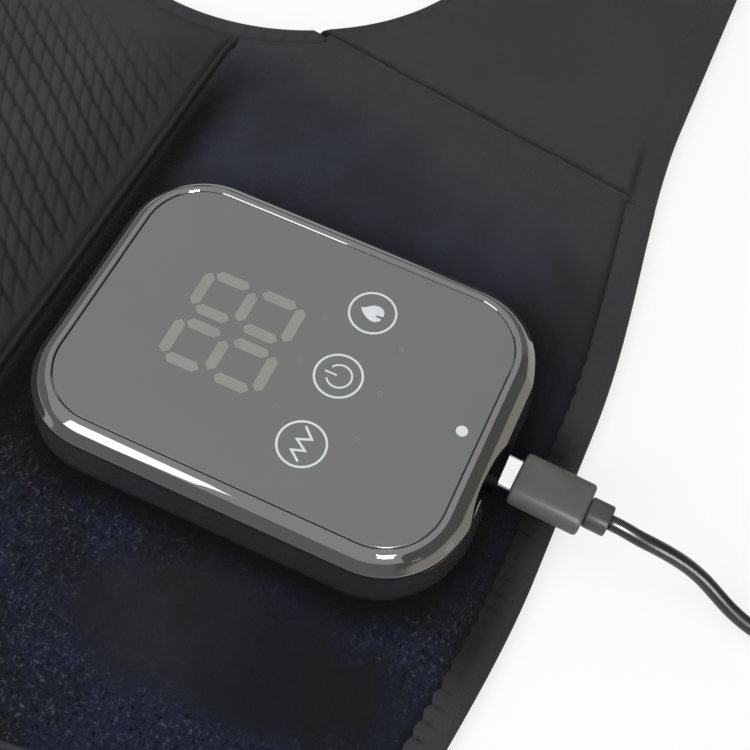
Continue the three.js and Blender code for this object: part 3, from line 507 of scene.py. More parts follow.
def noise_of(tree, place, scale, detail=3.0, roughness=0.5):
    return put(tree, "ShaderNodeTexNoise", None, {
        "Vector": place, "Scale": scale, "Detail": detail, "Roughness": roughness,
    }).outputs[0]


def rough_noise(tree, scale):
    return noise_of(tree, place_of(tree), scale, 4.0, 0.6)


def place_of(tree):
    return tree.nodes.new("ShaderNodeTexCoord").outputs["Object"]


def stretched_place(tree, **inputs):
    """The place on the piece, moved, turned or scaled"""
    return put(tree, "ShaderNodeMapping", None, {"Vector": place_of(tree), **inputs}).outputs[0]


TWO_TONES = (("Dark", "NodeSocketColor", (0.02, 0.02, 0.02, 1)), ("Light", "NodeSocketColor", (0.04, 0.04, 0.04, 1)))
COLOUR_AND_HEIGHT = (("Color", "NodeSocketColor"), ("Height", "NodeSocketFloat"))


def build_pile(tree, start):
    """Napped pile: short dark fibres with lighter tips, in slow patches of plain, navy and brown"""
    fibres = noise_of(tree, stretched_place(tree, Scale=(1.0, 0.55, 1.0)), 1150.0, 3.0, 0.6)
    crossing = noise_of(tree, stretched_place(tree, Rotation=(0, 0, 0.9), Scale=(0.5, 1.0, 1.0)), 1400.0, 3.0, 0.6)
    tips = ranged(tree, maths(tree, "MAXIMUM", fibres, crossing), 0.57, 0.76)
    pits = ranged(tree, maths(tree, "MINIMUM", fibres, crossing), 0.46, 0.28)
    patches = ranged(tree, rough_noise(tree, 30.0), 0.36, 0.55)
    worn = ranged(tree, noise_of(tree, place_of(tree), 19.0), 0.50, 0.64)
    base = tinted(tree, patches, start["Plain"], start["Navy"])
    base = tinted(tree, times(tree, worn, 0.45), base, start["Plain"])
    base = tinted(tree, times(tree, pits, start["Fibre"], True), base, (0.002, 0.002, 0.003))
    rough = maths(tree, "SUBTRACT", 1.0, times(tree, worn, 0.7))
    lit = times(tree, times(tree, tips, start["Fibre"]), rough, True)
    height = plus(tree, times(tree, fibres, 0.5), times(tree, crossing, 0.5))
    return {"Color": tinted(tree, times(tree, lit, 0.75), base, start["Tip"]), "Height": height}


def pile_group():
    colours = [(name, "NodeSocketColor", (0.02, 0.02, 0.03, 1)) for name in ("Plain", "Navy", "Tip")]
    return node_group("Napped pile", [*colours, ("Fibre", "NodeSocketFloat", 1.0)], COLOUR_AND_HEIGHT, build_pile)


def build_knit(tree, start):
    """Fine knit: close ribs crossed by courses, with lint and slow fading"""
    ribs, courses = (put(tree, "ShaderNodeTexWave", {"bands_direction": axis}, {
        "Vector": place_of(tree), "Scale": start["Scale"], "Distortion": 1.2, "Detail": 2.0, "Detail Scale": 2.0,
    }).outputs["Fac"] for axis in "XY")
    lint = noise_of(tree, place_of(tree), 1500.0, 4.0, 0.7)
    fade = ranged(tree, rough_noise(tree, 30.0), 0.3, 0.7)
    shade = plus(tree, times(tree, fade, 0.6), times(tree, lint, 0.4))
    height = plus(tree, times(tree, times(tree, ribs, courses), 0.6), times(tree, lint, 0.4))
    return {"Color": tinted(tree, shade, start["Dark"], start["Light"]), "Height": height}


def knit_group():
    return node_group("Fine knit", [("Scale", "NodeSocketFloat", 500.0), *TWO_TONES], COLOUR_AND_HEIGHT, build_knit)


def build_handling(tree, start):
    """Handling marks: faint smears, dust and hair scratches as a change of roughness"""
    smears = ranged(tree, noise_of(tree, place_of(tree), 34.0, 5.0, 0.62), 0.35, 0.75)
    dust = put(tree, "ShaderNodeTexVoronoi", {"feature": "F1"}, {"Vector": place_of(tree), "Scale": 420.0})
    spots = ranged(tree, dust.outputs["Distance"], 0.10, 0.04)
    hairs = noise_of(tree, stretched_place(tree, Scale=(60.0, 900.0, 60.0)), 1.0, 2.0)
    hairs = ranged(tree, hairs, 0.70, 0.78)
    marks = plus(tree, times(tree, smears, 0.6), times(tree, hairs, 0.3))
    marks = plus(tree, marks, times(tree, spots, 0.4), True)
    rough = put(tree, "ShaderNodeMapRange", None, {
        "Value": marks, "To Min": start["Clean"], "To Max": start["Marked"],
    }).outputs[0]
    return {"Roughness": rough, "Marks": marks}


def handling_group():
    return node_group("Handling marks", [
        ("Clean", "NodeSocketFloat", 0.05), ("Marked", "NodeSocketFloat", 0.15),
    ], [("Roughness", "NodeSocketFloat"), ("Marks", "NodeSocketFloat")], build_handling)


def build_moulding(tree, start):
    """Moulded grain: spark-eroded texture with slow mottling"""
    slow = ranged(tree, noise_of(tree, place_of(tree), 120.0), 0.3, 0.7)
    return {
        "Color": tinted(tree, slow, start["Dark"], start["Light"]),
        "Height": noise_of(tree, place_of(tree), 3200.0, 3.0, 0.7),
    }


def moulding_group():
    return node_group("Moulded grain", TWO_TONES, COLOUR_AND_HEIGHT, build_moulding)


def blank_material(name, **sockets):
    material = bpy.data.materials.new(name)
    material.use_nodes = True
    bsdf = material.node_tree.nodes["Principled BSDF"]
    for key, value in sockets.items():
        bsdf.inputs[key.replace("_", " ")].default_value = value
    return material, material.node_tree, bsdf


def bumped(tree, bsdf, height, distance, strength=1.0):
    bump = put(tree, "ShaderNodeBump", None, {"Height": height, "Distance": distance, "Strength": strength})
    tree.links.new(bump.outputs[0], bsdf.inputs["Normal"])


def darker(rgb, share):
    return tuple(c * share for c in rgb[:3])


def cached(maker):
    """Each finish is made once and shared by its pieces"""
    def wrapped(*args):
        name = f"{maker.__name__}{''.join(' ' + str(a) for a in args)}".replace("_", " ")
        return bpy.data.materials.get(name) or maker(name, *args)
    return wrapped


def relief_of(tree):
    """Painted shade kept on the cloth as its relief attribute: 1 where unshaded, towards 0 in seams, crevices, grooves
    and painted shadows beside the case and the plug
    """
    return put(tree, "ShaderNodeAttribute", {"attribute_name": "relief"}).outputs["Fac"]


# Matt cloth with a faint sheen
CLOTH = {"Roughness": 1.0, "Specular_IOR_Level": 0.04, "Sheen_Weight": 0.04, "Sheen_Roughness": 0.5}


@cached
def pile_finish(name):
    """Napped pile: stroked flat beside the case and towards the strap, lighter towards +X with pale nap and painted
    light, and darkened with painted shade towards the case's port end and where the relief attribute is low
    """
    material, tree, bsdf = blank_material(name, **CLOTH)
    place = put(tree, "ShaderNodeSeparateXYZ", None, {0: place_of(tree)}).outputs
    drift = times(tree, rough_noise(tree, 28.0), 0.06)
    towards = maths(tree, "SUBTRACT", place["X"], times(tree, place["Y"], 0.3))
    brushed = ranged(tree, plus(tree, towards, drift), 0.112, 0.146)
    # Painted light, partly pale brushed nap: the pile takes a lighter nap tone towards +X
    pale = ranged(tree, plus(tree, place["X"], drift), 0.020, 0.075)
    by_case = stretched_place(tree, Location=(4.5, 2.7, 0.0), Scale=(71.0, 28.0, 0.0))
    from_case = put(tree, "ShaderNodeVectorMath", {"operation": "LENGTH"}, {0: by_case}).outputs["Value"]
    calm = ranged(tree, plus(tree, from_case, rough_noise(tree, 45.0)), 1.9, 1.2)
    stroked = maths(tree, "MAXIMUM", times(tree, pale, 0.82), times(tree, calm, 0.75))
    pile = use_group(tree, pile_group(), {
        "Plain": opaque(finish_of("pile")), "Navy": opaque(finish_of("fleck")), "Tip": (0.074, 0.077, 0.094, 1),
        "Fibre": maths(tree, "SUBTRACT", 1.0, stroked),
    })
    mottle = ranged(tree, rough_noise(tree, 55.0), 0.4, 0.62)
    nap = tinted(tree, mottle, (0.0280, 0.0285, 0.0320), (0.0320, 0.0345, 0.0470))
    flat_nap = tinted(tree, mottle, (0.0132, 0.0135, 0.0150), (0.0170, 0.0176, 0.0205))
    # Painted shade: the flat nap darkens towards the case's port end
    flat_nap = tinted(tree, ranged(tree, place["Y"], -0.080, -0.106), flat_nap, (0.0085, 0.0088, 0.0102))
    tone = tinted(tree, times(tree, calm, 0.85), pile["Color"], flat_nap)
    # Painted light, partly pale nap: the lighter nap laid on towards +X
    tone = tinted(tree, times(tree, pale, 0.8), tone, nap)
    tone = tinted(tree, times(tree, brushed, 0.95), tone, finish_of("strap"))
    # Painted shade: near black where the relief attribute is low
    joined(tree, bsdf, {"Base Color": tinted(tree, relief_of(tree), (0.003, 0.003, 0.003), tone)})
    bumped(tree, bsdf, pile["Height"], 0.0007)
    return material


def knitted(name, tone, dark, light, crevice, height):
    """Knitted cloth between two shades of a tone, and a darker third laid on as painted shade where the relief
    attribute is low
    """
    material, tree, bsdf = blank_material(name, **CLOTH)
    knit = use_group(tree, knit_group(), {
        "Scale": 620.0, "Dark": opaque(darker(tone, dark)), "Light": opaque(darker(tone, light)),
    })
    # Painted shade: towards the darker crevice tone where the relief attribute is low
    joined(tree, bsdf, {"Base Color": tinted(tree, relief_of(tree), darker(tone, crevice), knit["Color"])})
    bumped(tree, bsdf, knit["Height"], height)
    return material


@cached
def scale_finish(name):
    return knitted(name, finish_of("pad"), 0.85, 1.12, 0.12, 0.00010)


@cached
def knit_finish(name, shade=1.0):
    return knitted(name, finish_of("strap"), 0.88 * shade, 1.1 * shade, 0.12 * shade, 0.00012)


def glossy(name, tone, clean, marked, worn, **sockets):
    """A smooth surface whose handling marks change its tone and roughness"""
    material, tree, bsdf = blank_material(name, **sockets)
    marks = use_group(tree, handling_group(), {"Clean": clean, "Marked": marked})
    joined(tree, bsdf, {
        "Base Color": tinted(tree, marks["Marks"], tone, darker(tone, worn)), "Roughness": marks["Roughness"],
    })
    return material


@cached
def gloss_finish(name, colour_name):
    return glossy(name, finish_of(colour_name), 0.02, 0.035, 1.5, IOR=2.5)


@cached
def window_finish(name):
    return glossy(name, finish_of("window"), 0.16, 0.24, 1.05, IOR=1.6)


def moulded(name, dark, light, clean, marked, grain=None, **sockets):
    """A surface between two tones, with handling marks and perhaps a grain"""
    material, tree, bsdf = blank_material(name, **sockets)
    moulding = use_group(tree, moulding_group(), {"Dark": opaque(dark), "Light": opaque(light)})
    marks = use_group(tree, handling_group(), {"Clean": clean, "Marked": marked})
    joined(tree, bsdf, {"Base Color": moulding["Color"], "Roughness": marks["Roughness"]})
    if grain:
        bumped(tree, bsdf, moulding["Height"], grain)
    return material


@cached
def shadow_finish(name):
    return moulded(name, (0.001, 0.001, 0.001), (0.002, 0.002, 0.002), 0.5, 0.7, Specular_IOR_Level=0.03)


@cached
def printed_finish(name, colour_name):
    tone = finish_of(colour_name)
    return moulded(name, darker(tone, 0.93), tone, 0.3, 0.45, IOR=1.5)


@cached
def moulded_finish(name, colour_name, rough=0.5, grain=0.00003, shine=0.5):
    tone = finish_of(colour_name)
    return moulded(name, darker(tone, 0.85), darker(tone, 1.08), rough * 0.9, min(rough * 1.3, 1.0), grain,
                   Specular_IOR_Level=shine)


@cached
def metal_finish(name, red, green, blue, rough):
    tone = (red, green, blue)
    return moulded(name, darker(tone, 0.9), tone, rough, rough * 1.6, Metallic=1.0)


@cached
def plain_finish(name, red, green, blue, rough):
    tone = (red, green, blue)
    return moulded(name, darker(tone, 0.8), darker(tone, 1.1), rough * 0.9, min(rough * 1.3, 1.0), 0.00004)


# Stage

# The camera solved from the window's edges in the photograph
CAMERA_PLACE = (-0.12098, -0.13745, 0.25192)
CAMERA_ROWS = (
    (0.41294301, 0.78414489, -0.46324385),
    (-0.90856969, 0.38991167, -0.14990002),
    (0.06308085, 0.48278949, 0.87346157),
)
SENSOR = 36.0
LENS = 1186.555 / 750 * SENSOR
FLOOR_HALF, FLOOR_DROP = 6.0, -0.0003
WALL_RADIUS, WALL_SIDES, WALL_TOP = 1.1, 48, 0.68
# Name, place, target, width, height, power, seen in reflections, lights matt surfaces
LAMPS = (
    ("overhead softbox", (-0.25, 0.1, 1.5), (0, -0.05, 0), 1.6, 1.6, 9.0, False, True),
    ("window light", (-0.633, 0.311, 0.62), (-0.03, -0.08, 0.02), 0.29, 0.40, 1.72, True, True),
    ("window fill", (-0.65, 0.28, 0.62), (-0.03, -0.08, 0.02), 0.36, 0.5, 1.9, False, True),
    ("overhead strip", (-0.42, -0.38, 0.87), (-0.008, -0.19, 0.0), 0.2, 0.3, 22.0, True, False),
    ("low strip", (-0.494, -0.978, 0.36), (-0.0067, -0.18, 0.0095), 0.18, 0.34, 18.0, True, False),
)


def area_light(name, place, target, width, height, power, reflected, matt):
    data = bpy.data.lights.new(name, "AREA")
    data.shape = "RECTANGLE"
    data.size, data.size_y, data.energy = width, height, power
    lamp = linked(name, data)
    lamp.location = place
    lamp.rotation_mode = "QUATERNION"
    lamp.rotation_quaternion = (Vector(target) - Vector(place)).to_track_quat("-Z", "Y")
    lamp.visible_glossy, lamp.visible_diffuse = reflected, matt


def seen(tree):
    """1 for camera, mirror and glass rays, 0 for the others"""
    path = tree.nodes.new("ShaderNodeLightPath").outputs
    share = maths(tree, "MAXIMUM", path["Is Camera Ray"], path["Is Glossy Ray"])
    return maths(tree, "MAXIMUM", share, path["Is Transmission Ray"])


def surfaced(tree, shader):
    joined(tree, tree.nodes["Material Output"], {"Surface": shader})


def glow_of(tree, tone):
    return put(tree, "ShaderNodeEmission", None, {"Color": tone, "Strength": 1.0}).outputs[0]


class StageMaker(bpy.types.Operator):
    """Camera, lamps, world and floor"""

    bl_idname = "knee.stage"
    bl_label = "Stage"

    def execute(self, context):
        scene = context.scene
        scene.view_settings.view_transform = "Standard"
        data = bpy.data.cameras.new("camera")
        data.sensor_width, data.lens = SENSOR, LENS
        data.clip_start, data.clip_end = 0.01, 50
        scene.camera = linked("camera", data)
        scene.camera.matrix_world = Matrix.Translation(CAMERA_PLACE) @ Matrix(CAMERA_ROWS).to_4x4()
        for lamp in LAMPS:
            area_light(*lamp)
        self.walls()
        scene.world = bpy.data.worlds.new("white room")
        scene.world.use_nodes = True
        tree = scene.world.node_tree
        power = put(tree, "ShaderNodeMapRange", None, {"Value": seen(tree), "To Min": 0.55, "To Max": 1.0}).outputs[0]
        joined(tree, tree.nodes["Background"], {"Color": (1, 1, 1, 1), "Strength": power})
        self.floor()
        return {"FINISHED"}

    def floor(self):
        """A pale floor that looks white and still takes the shadow"""
        material, tree, bsdf = blank_material("pale floor", Roughness=0.9, Base_Color=(0.86, 0.86, 0.86, 1))
        share = times(tree, seen(tree), 0.72)
        both = {0: share, 1: bsdf.outputs[0], 2: glow_of(tree, (1, 1, 1, 1))}
        surfaced(tree, put(tree, "ShaderNodeMixShader", None, both).outputs[0])
        corners = [(-1, -1, 0), (1, -1, 0), (1, 1, 0), (-1, 1, 0)]
        floor = mesh_object("floor", np.array(corners) * FLOOR_HALF, [(0, 1, 2, 3)], material)
        floor.location.z = FLOOR_DROP

    def walls(self):
        """Grey walls round the table that only show in reflections, with a warm board beyond the plug"""
        n = WALL_SIDES
        around = np.linspace(0, 2 * math.pi, n + 1)[:-1]
        low = [(WALL_RADIUS * math.cos(a), WALL_RADIUS * math.sin(a), 0.003) for a in around]
        points = low + [(x, y, WALL_TOP) for x, y, _ in low]
        faces = [(i, (i + 1) % n, n + (i + 1) % n, n + i) for i in range(n)]
        points += [(-0.6, -0.8, 0.004), (1.4, -0.8, 0.004), (1.4, -0.8, 1.08), (-0.6, -0.8, 1.08)]
        faces.append((2 * n, 2 * n + 1, 2 * n + 2, 2 * n + 3))
        material = bpy.data.materials.new("studio walls")
        material.use_nodes = True
        tree = material.node_tree
        place = put(tree, "ShaderNodeSeparateXYZ", None, {0: place_of(tree)}).outputs
        board = tinted(tree, ranged(tree, place["Z"], 0.08, 0.15), (0.80, 0.76, 0.63), (0.215, 0.21, 0.19))
        tone = tinted(tree, ranged(tree, place["Y"], -0.70, -0.79), (0.36, 0.36, 0.37), board)
        surfaced(tree, glow_of(tree, tone))
        material.cycles.emission_sampling = "NONE"
        walls = mesh_object("studio walls", points, faces, material)
        walls.visible_camera = walls.visible_diffuse = walls.visible_shadow = walls.visible_transmission = False


# Lead: the cord first, so that its place is known before the looks

PLUG_YAW = math.radians(-2.8)
# The cord from the plug's neck to the coil, in mm
CORD_ROUTE = (
    (-7.5, -164.4, 17.0), (-7.2, -168.0, 15.9), (-6.8, -171.7, 14.3), (-6.5, -175.0, 12.6), (-6.4, -178.2, 10.7),
    (-6.7, -181.7, 8.6), (-7.5, -185.5, 6.3), (-8.5, -189.4, 4.4), (-9.4, -194.3, 2.7), (-10.1, -200.5, 1.9),
    (-10.3, -207.5, 1.75), (-10.3, -215.0, 1.9), (-10.2, -222.0, 2.4), (-10.2, -227.0, 2.7),
)
PORT_MOUTH = Vector((-0.006, -0.1322, 0.0179))
# The end of the plug's neck in its own frame, then the coil's middle, height and turns, and the tie's clearance
NECK_END = -0.0251
COIL_MIDDLE, COIL_REST = (0.016, -0.236), 0.0027
TURNS_IN, TURNS_OUT, PER_TURN = 3.5, 3.25, 48
TIE_GAP = 0.00035


def plug_place(x, y, z):
    """A place in the plug's own frame, out of the port's mouth along -Y, in the row frame"""
    return PORT_MOUTH + Matrix.Rotation(PLUG_YAW, 3, "Z") @ Vector((x, y, z))


def smooth_path(points, step):
    """Places along a smooth curve through the points, evenly spaced"""
    p = np.asarray(points, float)
    p = np.vstack([2 * p[0] - p[1], p, 2 * p[-1] - p[-2]])
    out = []
    for i in range(1, len(p) - 2):
        a, b, c, d = p[i - 1], p[i], p[i + 1], p[i + 2]
        for t in np.linspace(0, 1, 24, endpoint=False):
            out.append(0.5 * (
                2 * b + (c - a) * t + (2 * a - 5 * b + 4 * c - d) * t * t + (3 * b - a - 3 * c + d) * t**3
            ))
    out.append(p[-2])
    return evened(np.array(out), step, 2)


def coil_path():
    """The coil in two layers and its straight tail, in the row frame"""
    s = lead()
    outer = s.coil_inner + TURNS_IN * s.coil_pitch
    points = []

    def add(turns, radius, z):
        angle = math.pi * (1 + 2 * turns)
        points.append((COIL_MIDDLE[0] + radius * math.cos(angle), COIL_MIDDLE[1] + radius * math.sin(angle), z))

    for i in range(int(TURNS_IN * PER_TURN) + 1):
        add(i / PER_TURN, outer - s.coil_pitch * i / PER_TURN, COIL_REST)
    climb = PER_TURN // 2
    for i in range(1, climb + 1):
        share = i / climb
        bow = 0.0012 * math.sin(math.pi * share)
        add(TURNS_IN + share / 2, s.coil_inner - bow, COIL_REST + s.coil_pitch * float(smooth(share)))
    for i in range(1, int(TURNS_OUT * PER_TURN) + 1):
        add(TURNS_IN + 0.5 + i / PER_TURN, s.coil_inner + s.coil_pitch * i / PER_TURN, COIL_REST + s.coil_pitch)
    tx, ty, tz = points[-1]
    for i in range(1, 17):
        along = 0.0265 * i / 16
        points.append((tx + along, ty, mix(tz, 0.0038, float(smooth((along - 0.013) / 0.0135)))))
    points.append((tx + 0.030, ty, 0.0038))
    return np.array(points)


class LeadMaker(bpy.types.Operator):
    """The charging lead's cord from the plug to the far plug, with its coil and tie"""

    bl_idname = "knee.lead"
    bl_label = "Cord and coil"

    def execute(self, context):
        s = lead()
        start = [tuple(plug_place(0, NECK_END + along, 0)) for along in (0.0008, -0.0026)]
        run = smooth_path([*start, *[tuple(c * 0.001 for c in p) for p in CORD_ROUTE]], 0.0016)
        coil = coil_path()
        path = np.vstack([run, (coil[0] + (0, 0.0017, 0))[None], coil])
        skin = lofted(tube_rings(path, s.cord_radius))
        cord = piece("charging_cord", skin, moulded_finish("cord", 0.30, 0.000003, 0.5), "lead", "cord", None,
                     "cord_run", "cord_coil")
        self.tie(s)
        return {"FINISHED"}

    def tie(self, s):
        half = s.tie_width / 2
        low = math.sqrt((s.coil_inner - 0.0012 - s.cord_radius) ** 2 - half**2) - TIE_GAP
        high = s.coil_inner + TURNS_IN * s.coil_pitch - 0.7 * s.coil_pitch + s.cord_radius + TIE_GAP
        top = s.coil_pitch + 2 * s.cord_radius + 0.0007 + 0.0012
        outline = rounded_ring((high - low) / 2 + 0.0006, top / 2, 0.0016, 6)
        inner = rounded_ring((high - low) / 2, top / 2 - 0.0006, 0.001, 6)
        middle = COIL_MIDDLE[1] + (low + high) / 2
        rings = [
            [(COIL_MIDDLE[0] + across, middle + u, top / 2 + v) for u, v in ring]
            for ring, across in ((outline, -half), (outline, half), (inner, half), (inner, -half))
        ]
        piece("coil_cable_tie", looped(rings), plain_finish(0.012, 0.012, 0.013, 0.45), "lead", "black_plastic", 0.6,
              "coil_tie")


def pushed_rings(sections, place):
    """Rings of rounded rectangles (half width, half height, radius, distance out along -Y)"""
    return [np.array([tuple(place(x, -out, z)) for x, z in rounded_ring(*section, 10)]) for *section, out in sections]


def soft_sections(width, height, radius, start, end, roll):
    """Sections of a block whose two ends are rolled in"""
    steps = [(roll * (1 - math.cos(a)), roll * (1 - math.sin(a))) for a in np.linspace(0, math.pi / 2, 6)]
    sections = [(start + along, inward) for along, inward in steps]
    sections += [(end - along, inward) for along, inward in reversed(steps)]
    return [(width / 2 - i, height / 2 - i, max(radius - i, roll * 0.3), out) for out, i in sections]


def far_place(x, y, z):
    """A place in the far plug's frame, which looks along +X, in the row frame"""
    tail = coil_path()[-1]
    return Vector((tail[0] + 0.0003 - y, tail[1] + x, tail[2] + z))


class FarPlugMaker(bpy.types.Operator):
    """The plug at the far end of the lead"""

    bl_idname = "knee.far_plug"
    bl_label = "Far plug"

    def execute(self, context):
        grip = soft_sections(0.0156, 0.0076, 0.0024, 0, 0.024, 0.0009)
        piece("far_plug_grip", lofted(pushed_rings(grip, far_place)), moulded_finish("neck", 0.45), "lead",
              "grey_plastic", 0.7, "usb_a_overmould")
        start, end, wall = 0.0243, 0.0363, 0.0005
        shell = [
            (0.006, 0.00225, 0.0006, start), (0.006, 0.00225, 0.0006, end - 0.0002), (0.00585, 0.0021, 0.0005, end),
            (0.006 - wall, 0.00225 - wall, 0.0004, end), (0.006 - wall, 0.00225 - wall, 0.0004, start + 2 * wall),
        ]
        piece("far_plug_shell", lofted(pushed_rings(shell, far_place)), metal_finish(0.62, 0.62, 0.61, 0.2), "lead",
              "steel", 0.6, "usb_a_shell")
        tongue = pushed_rings([(0.0053, 0.0009, 0.0002, start + 0.0011), (0.0053, 0.0009, 0.0002, end - 0.0012)],
                              lambda x, y, z: far_place(x, y, z + 0.0008))
        piece("far_plug_tongue", lofted(tongue), plain_finish(0.75, 0.75, 0.72, 0.5), "lead", "digit", 0.6)
        return {"FINISHED"}


class PlugMaker(bpy.types.Operator):
    """The charging plug: metal shell, grip and neck"""

    bl_idname = "knee.plug"
    bl_label = "Charging plug"

    def execute(self, context):
        shell = [
            (0.00415, 0.00125, 0.00125, -0.00355), (0.00415, 0.00125, 0.00125, 0.0031),
            (0.00375, 0.00085, 0.00085, 0.0021), (0.00375, 0.00085, 0.00085, -0.00355),
        ]
        grip = soft_sections(0.0123, 0.0064, 0.00275, 0.0034, 0.0198, 0.0009)
        neck = soft_sections(0.0070, 0.0054, 0.0024, 0.0199, 0.0251, 0.0005)
        for name, sections, material, slot, sharp, node in (
            ("plug_shell", shell, metal_finish(0.95, 0.95, 0.93, 0.12), "steel", 0.6, "usb_c_shell"),
            ("plug_grip", grip, moulded_finish("grip", 0.42, 0.00002, 0.16), "grey_plastic", 0.9, "plug_overmould"),
            ("plug_neck", neck, moulded_finish("neck", 0.42, 0.00002, 0.16), "grey_plastic", 0.9, "strain_relief"),
        ):
            piece(name, lofted(pushed_rings(sections, plug_place)), material, "lead", slot, sharp, node)
        return {"FINISHED"}


# Controller: places are in the window's frame, with the origin in the middle of its top face

WINDOW_CENTRE = Vector(((window_low.x + window_high.x) / 2, (window_low.y + window_high.y) / 2, window_high.z))
WINDOW_HALF = ((window_high.x - window_low.x) / 2, (window_high.y - window_low.y) / 2)
# Shares of the case's flare and height, down its outside
UPPER_PROFILE = (
    (0.1875, 0.0013), (0.2109, 0.0), (0.2297, 0.0006), (0.2531, 0.0034), (0.2891, 0.0097), (0.3438, 0.0197),
    (0.4062, 0.0321), (0.4609, 0.0437), (0.5078, 0.0563), (0.5625, 0.0747), (0.625, 0.1), (0.6875, 0.1262),
    (0.75, 0.1524), (0.79, 0.1692), (0.8016, 0.1765), (0.8016, 0.19), (0.8016, 0.2211), (0.8016, 0.2553),
)
LOWER_PROFILE = (
    (0.80, 0.268), (0.815, 0.285), (0.835, 0.33), (0.865, 0.38), (0.90, 0.44), (0.935, 0.51), (0.97, 0.58),
    (0.995, 0.64), (1.0, 0.67), (0.985, 0.73), (0.94, 0.79), (0.85, 0.86), (0.72, 0.92), (0.60, 0.963),
    (0.50, 0.988), (0.42, 1.0), (0.30, 1.0),
)
PARTING_SHARE = 0.80
# Outline of the scoop seen from above: along the side and out of it, in mm
SCOOP = (
    (7.2, 9.2), (6.2, 7.9), (5.3, 7.0), (4.3, 6.35), (3.0, 5.85), (1.5, 5.45), (0.0, 5.15), (-2.5, 4.8),
    (-5.5, 4.6), (-8.6, 4.5), (-11.0, 4.6), (-13.5, 4.9), (-16.0, 5.4), (-18.0, 5.95), (-18.0, 6.05),
    (-16.2, 5.78), (-14.0, 5.48), (-12.2, 5.42), (-11.2, 5.75), (-10.8, 6.4), (-10.6, 7.2), (-10.5, 9.2),
)
# The scoop's cut, how far out of the window the port's mouth is, and half the port's width and height
SCOOP_TOP, SCOOP_FOOT = 0.002, -0.024
PORT_OUT, PORT_SECTION = 0.0072, (0.0051, 0.00225)
# Segments of a digit from tip to tip, and the outlines of the icons, in mm
SEGMENTS = (
    ((2.5, 24.9), (11.7, 24.9)), ((11.8, 15.5), (11.8, 23.8)), ((2.2, 15.7), (2.2, 23.9)), ((3.0, 13.9), (11.2, 13.9)),
    ((11.9, 3.8), (11.9, 12.4)), ((2.3, 3.8), (2.3, 12.2)), ((2.8, 2.4), (12.2, 2.4)),
)
FLAME = (
    (0.1, -2.35), (1.0, -2.15), (1.75, -1.5), (2.0, -0.6), (1.75, 0.4), (1.2, 1.2), (0.55, 1.9), (0.2, 2.7),
    (-0.3, 2.2), (-0.95, 1.55), (-1.5, 0.7), (-1.85, -0.3), (-1.75, -1.25), (-1.2, -1.95), (-0.75, -2.2),
    (-0.55, -1.75), (-0.6, -1.2), (-0.35, -0.7), (-0.05, -1.2), (-0.1, -1.8),
)
ZIGZAG = ((4.1, 1.0), (1.85, -1.5), (0.6, 1.4), (-1.15, -1.3), (-2.1, 1.4), (-4.0, -1.05))
SENSOR_DOTS = (
    (0.0124, -0.003), (0.0002, -0.0028), (-0.012, -0.0028), (0.0125, -0.0216), (0.0004, -0.0217), (-0.0117, -0.0218),
)
# Underside and top of what is printed on the window
PRINT = (-0.00006, 0.00002)


def on_window(points):
    return np.asarray(points, float) + np.array(WINDOW_CENTRE)


def case_ring(offset, drop, steps=20):
    """A ring round the window, a little out over the port and in beside the knee pad"""
    ring = rounded_ring(WINDOW_HALF[0] + offset, WINDOW_HALF[1] + offset, controller().corner + offset, steps)
    lip = clamped((offset - 0.0029) / 0.0022) * smooth((0.025 - np.abs(ring[:, 0])) / 0.011)
    ring[:, 1] -= 0.0011 * lip * (ring[:, 1] < -WINDOW_HALF[1])
    ring[:, 1] += 0.00014 * (0.0001 < offset < 0.001) * (ring[:, 1] > 0)
    return np.column_stack([ring, np.full(len(ring), -drop)])


def dense_profile(shares, step=3):
    """More places along a profile, on a smooth curve through its own"""
    c = controller()
    rough = np.array([(a * c.flare, b * c.height, 0) for a, b in shares])
    even = smooth_path(rough, run_along(rough)[-1] / (len(shares) * step))
    return [(a, b) for a, b, _ in even]


def applied(obj):
    """obj with its modifiers made part of its mesh"""
    mesh = bpy.data.meshes.new_from_object(obj.evaluated_get(bpy.context.evaluated_depsgraph_get()))
    obj.modifiers.clear()
    obj.data = mesh


def combined(obj, skin, operation="DIFFERENCE"):
    """obj with a skin in the window's frame cut out of it or joined to it"""
    points, faces = skin
    other = mesh_object("cutter", on_window(points), outward(points, faces))
    bpy.context.view_layer.update()
    modifier = obj.modifiers.new("combined", "BOOLEAN")
    modifier.operation, modifier.solver, modifier.object = operation, "EXACT", other
    applied(obj)
    bpy.data.objects.remove(other)


def prism(outline, low, high):
    return lofted([np.array([(x, y, z) for x, y in outline]) for z in (low, high)])


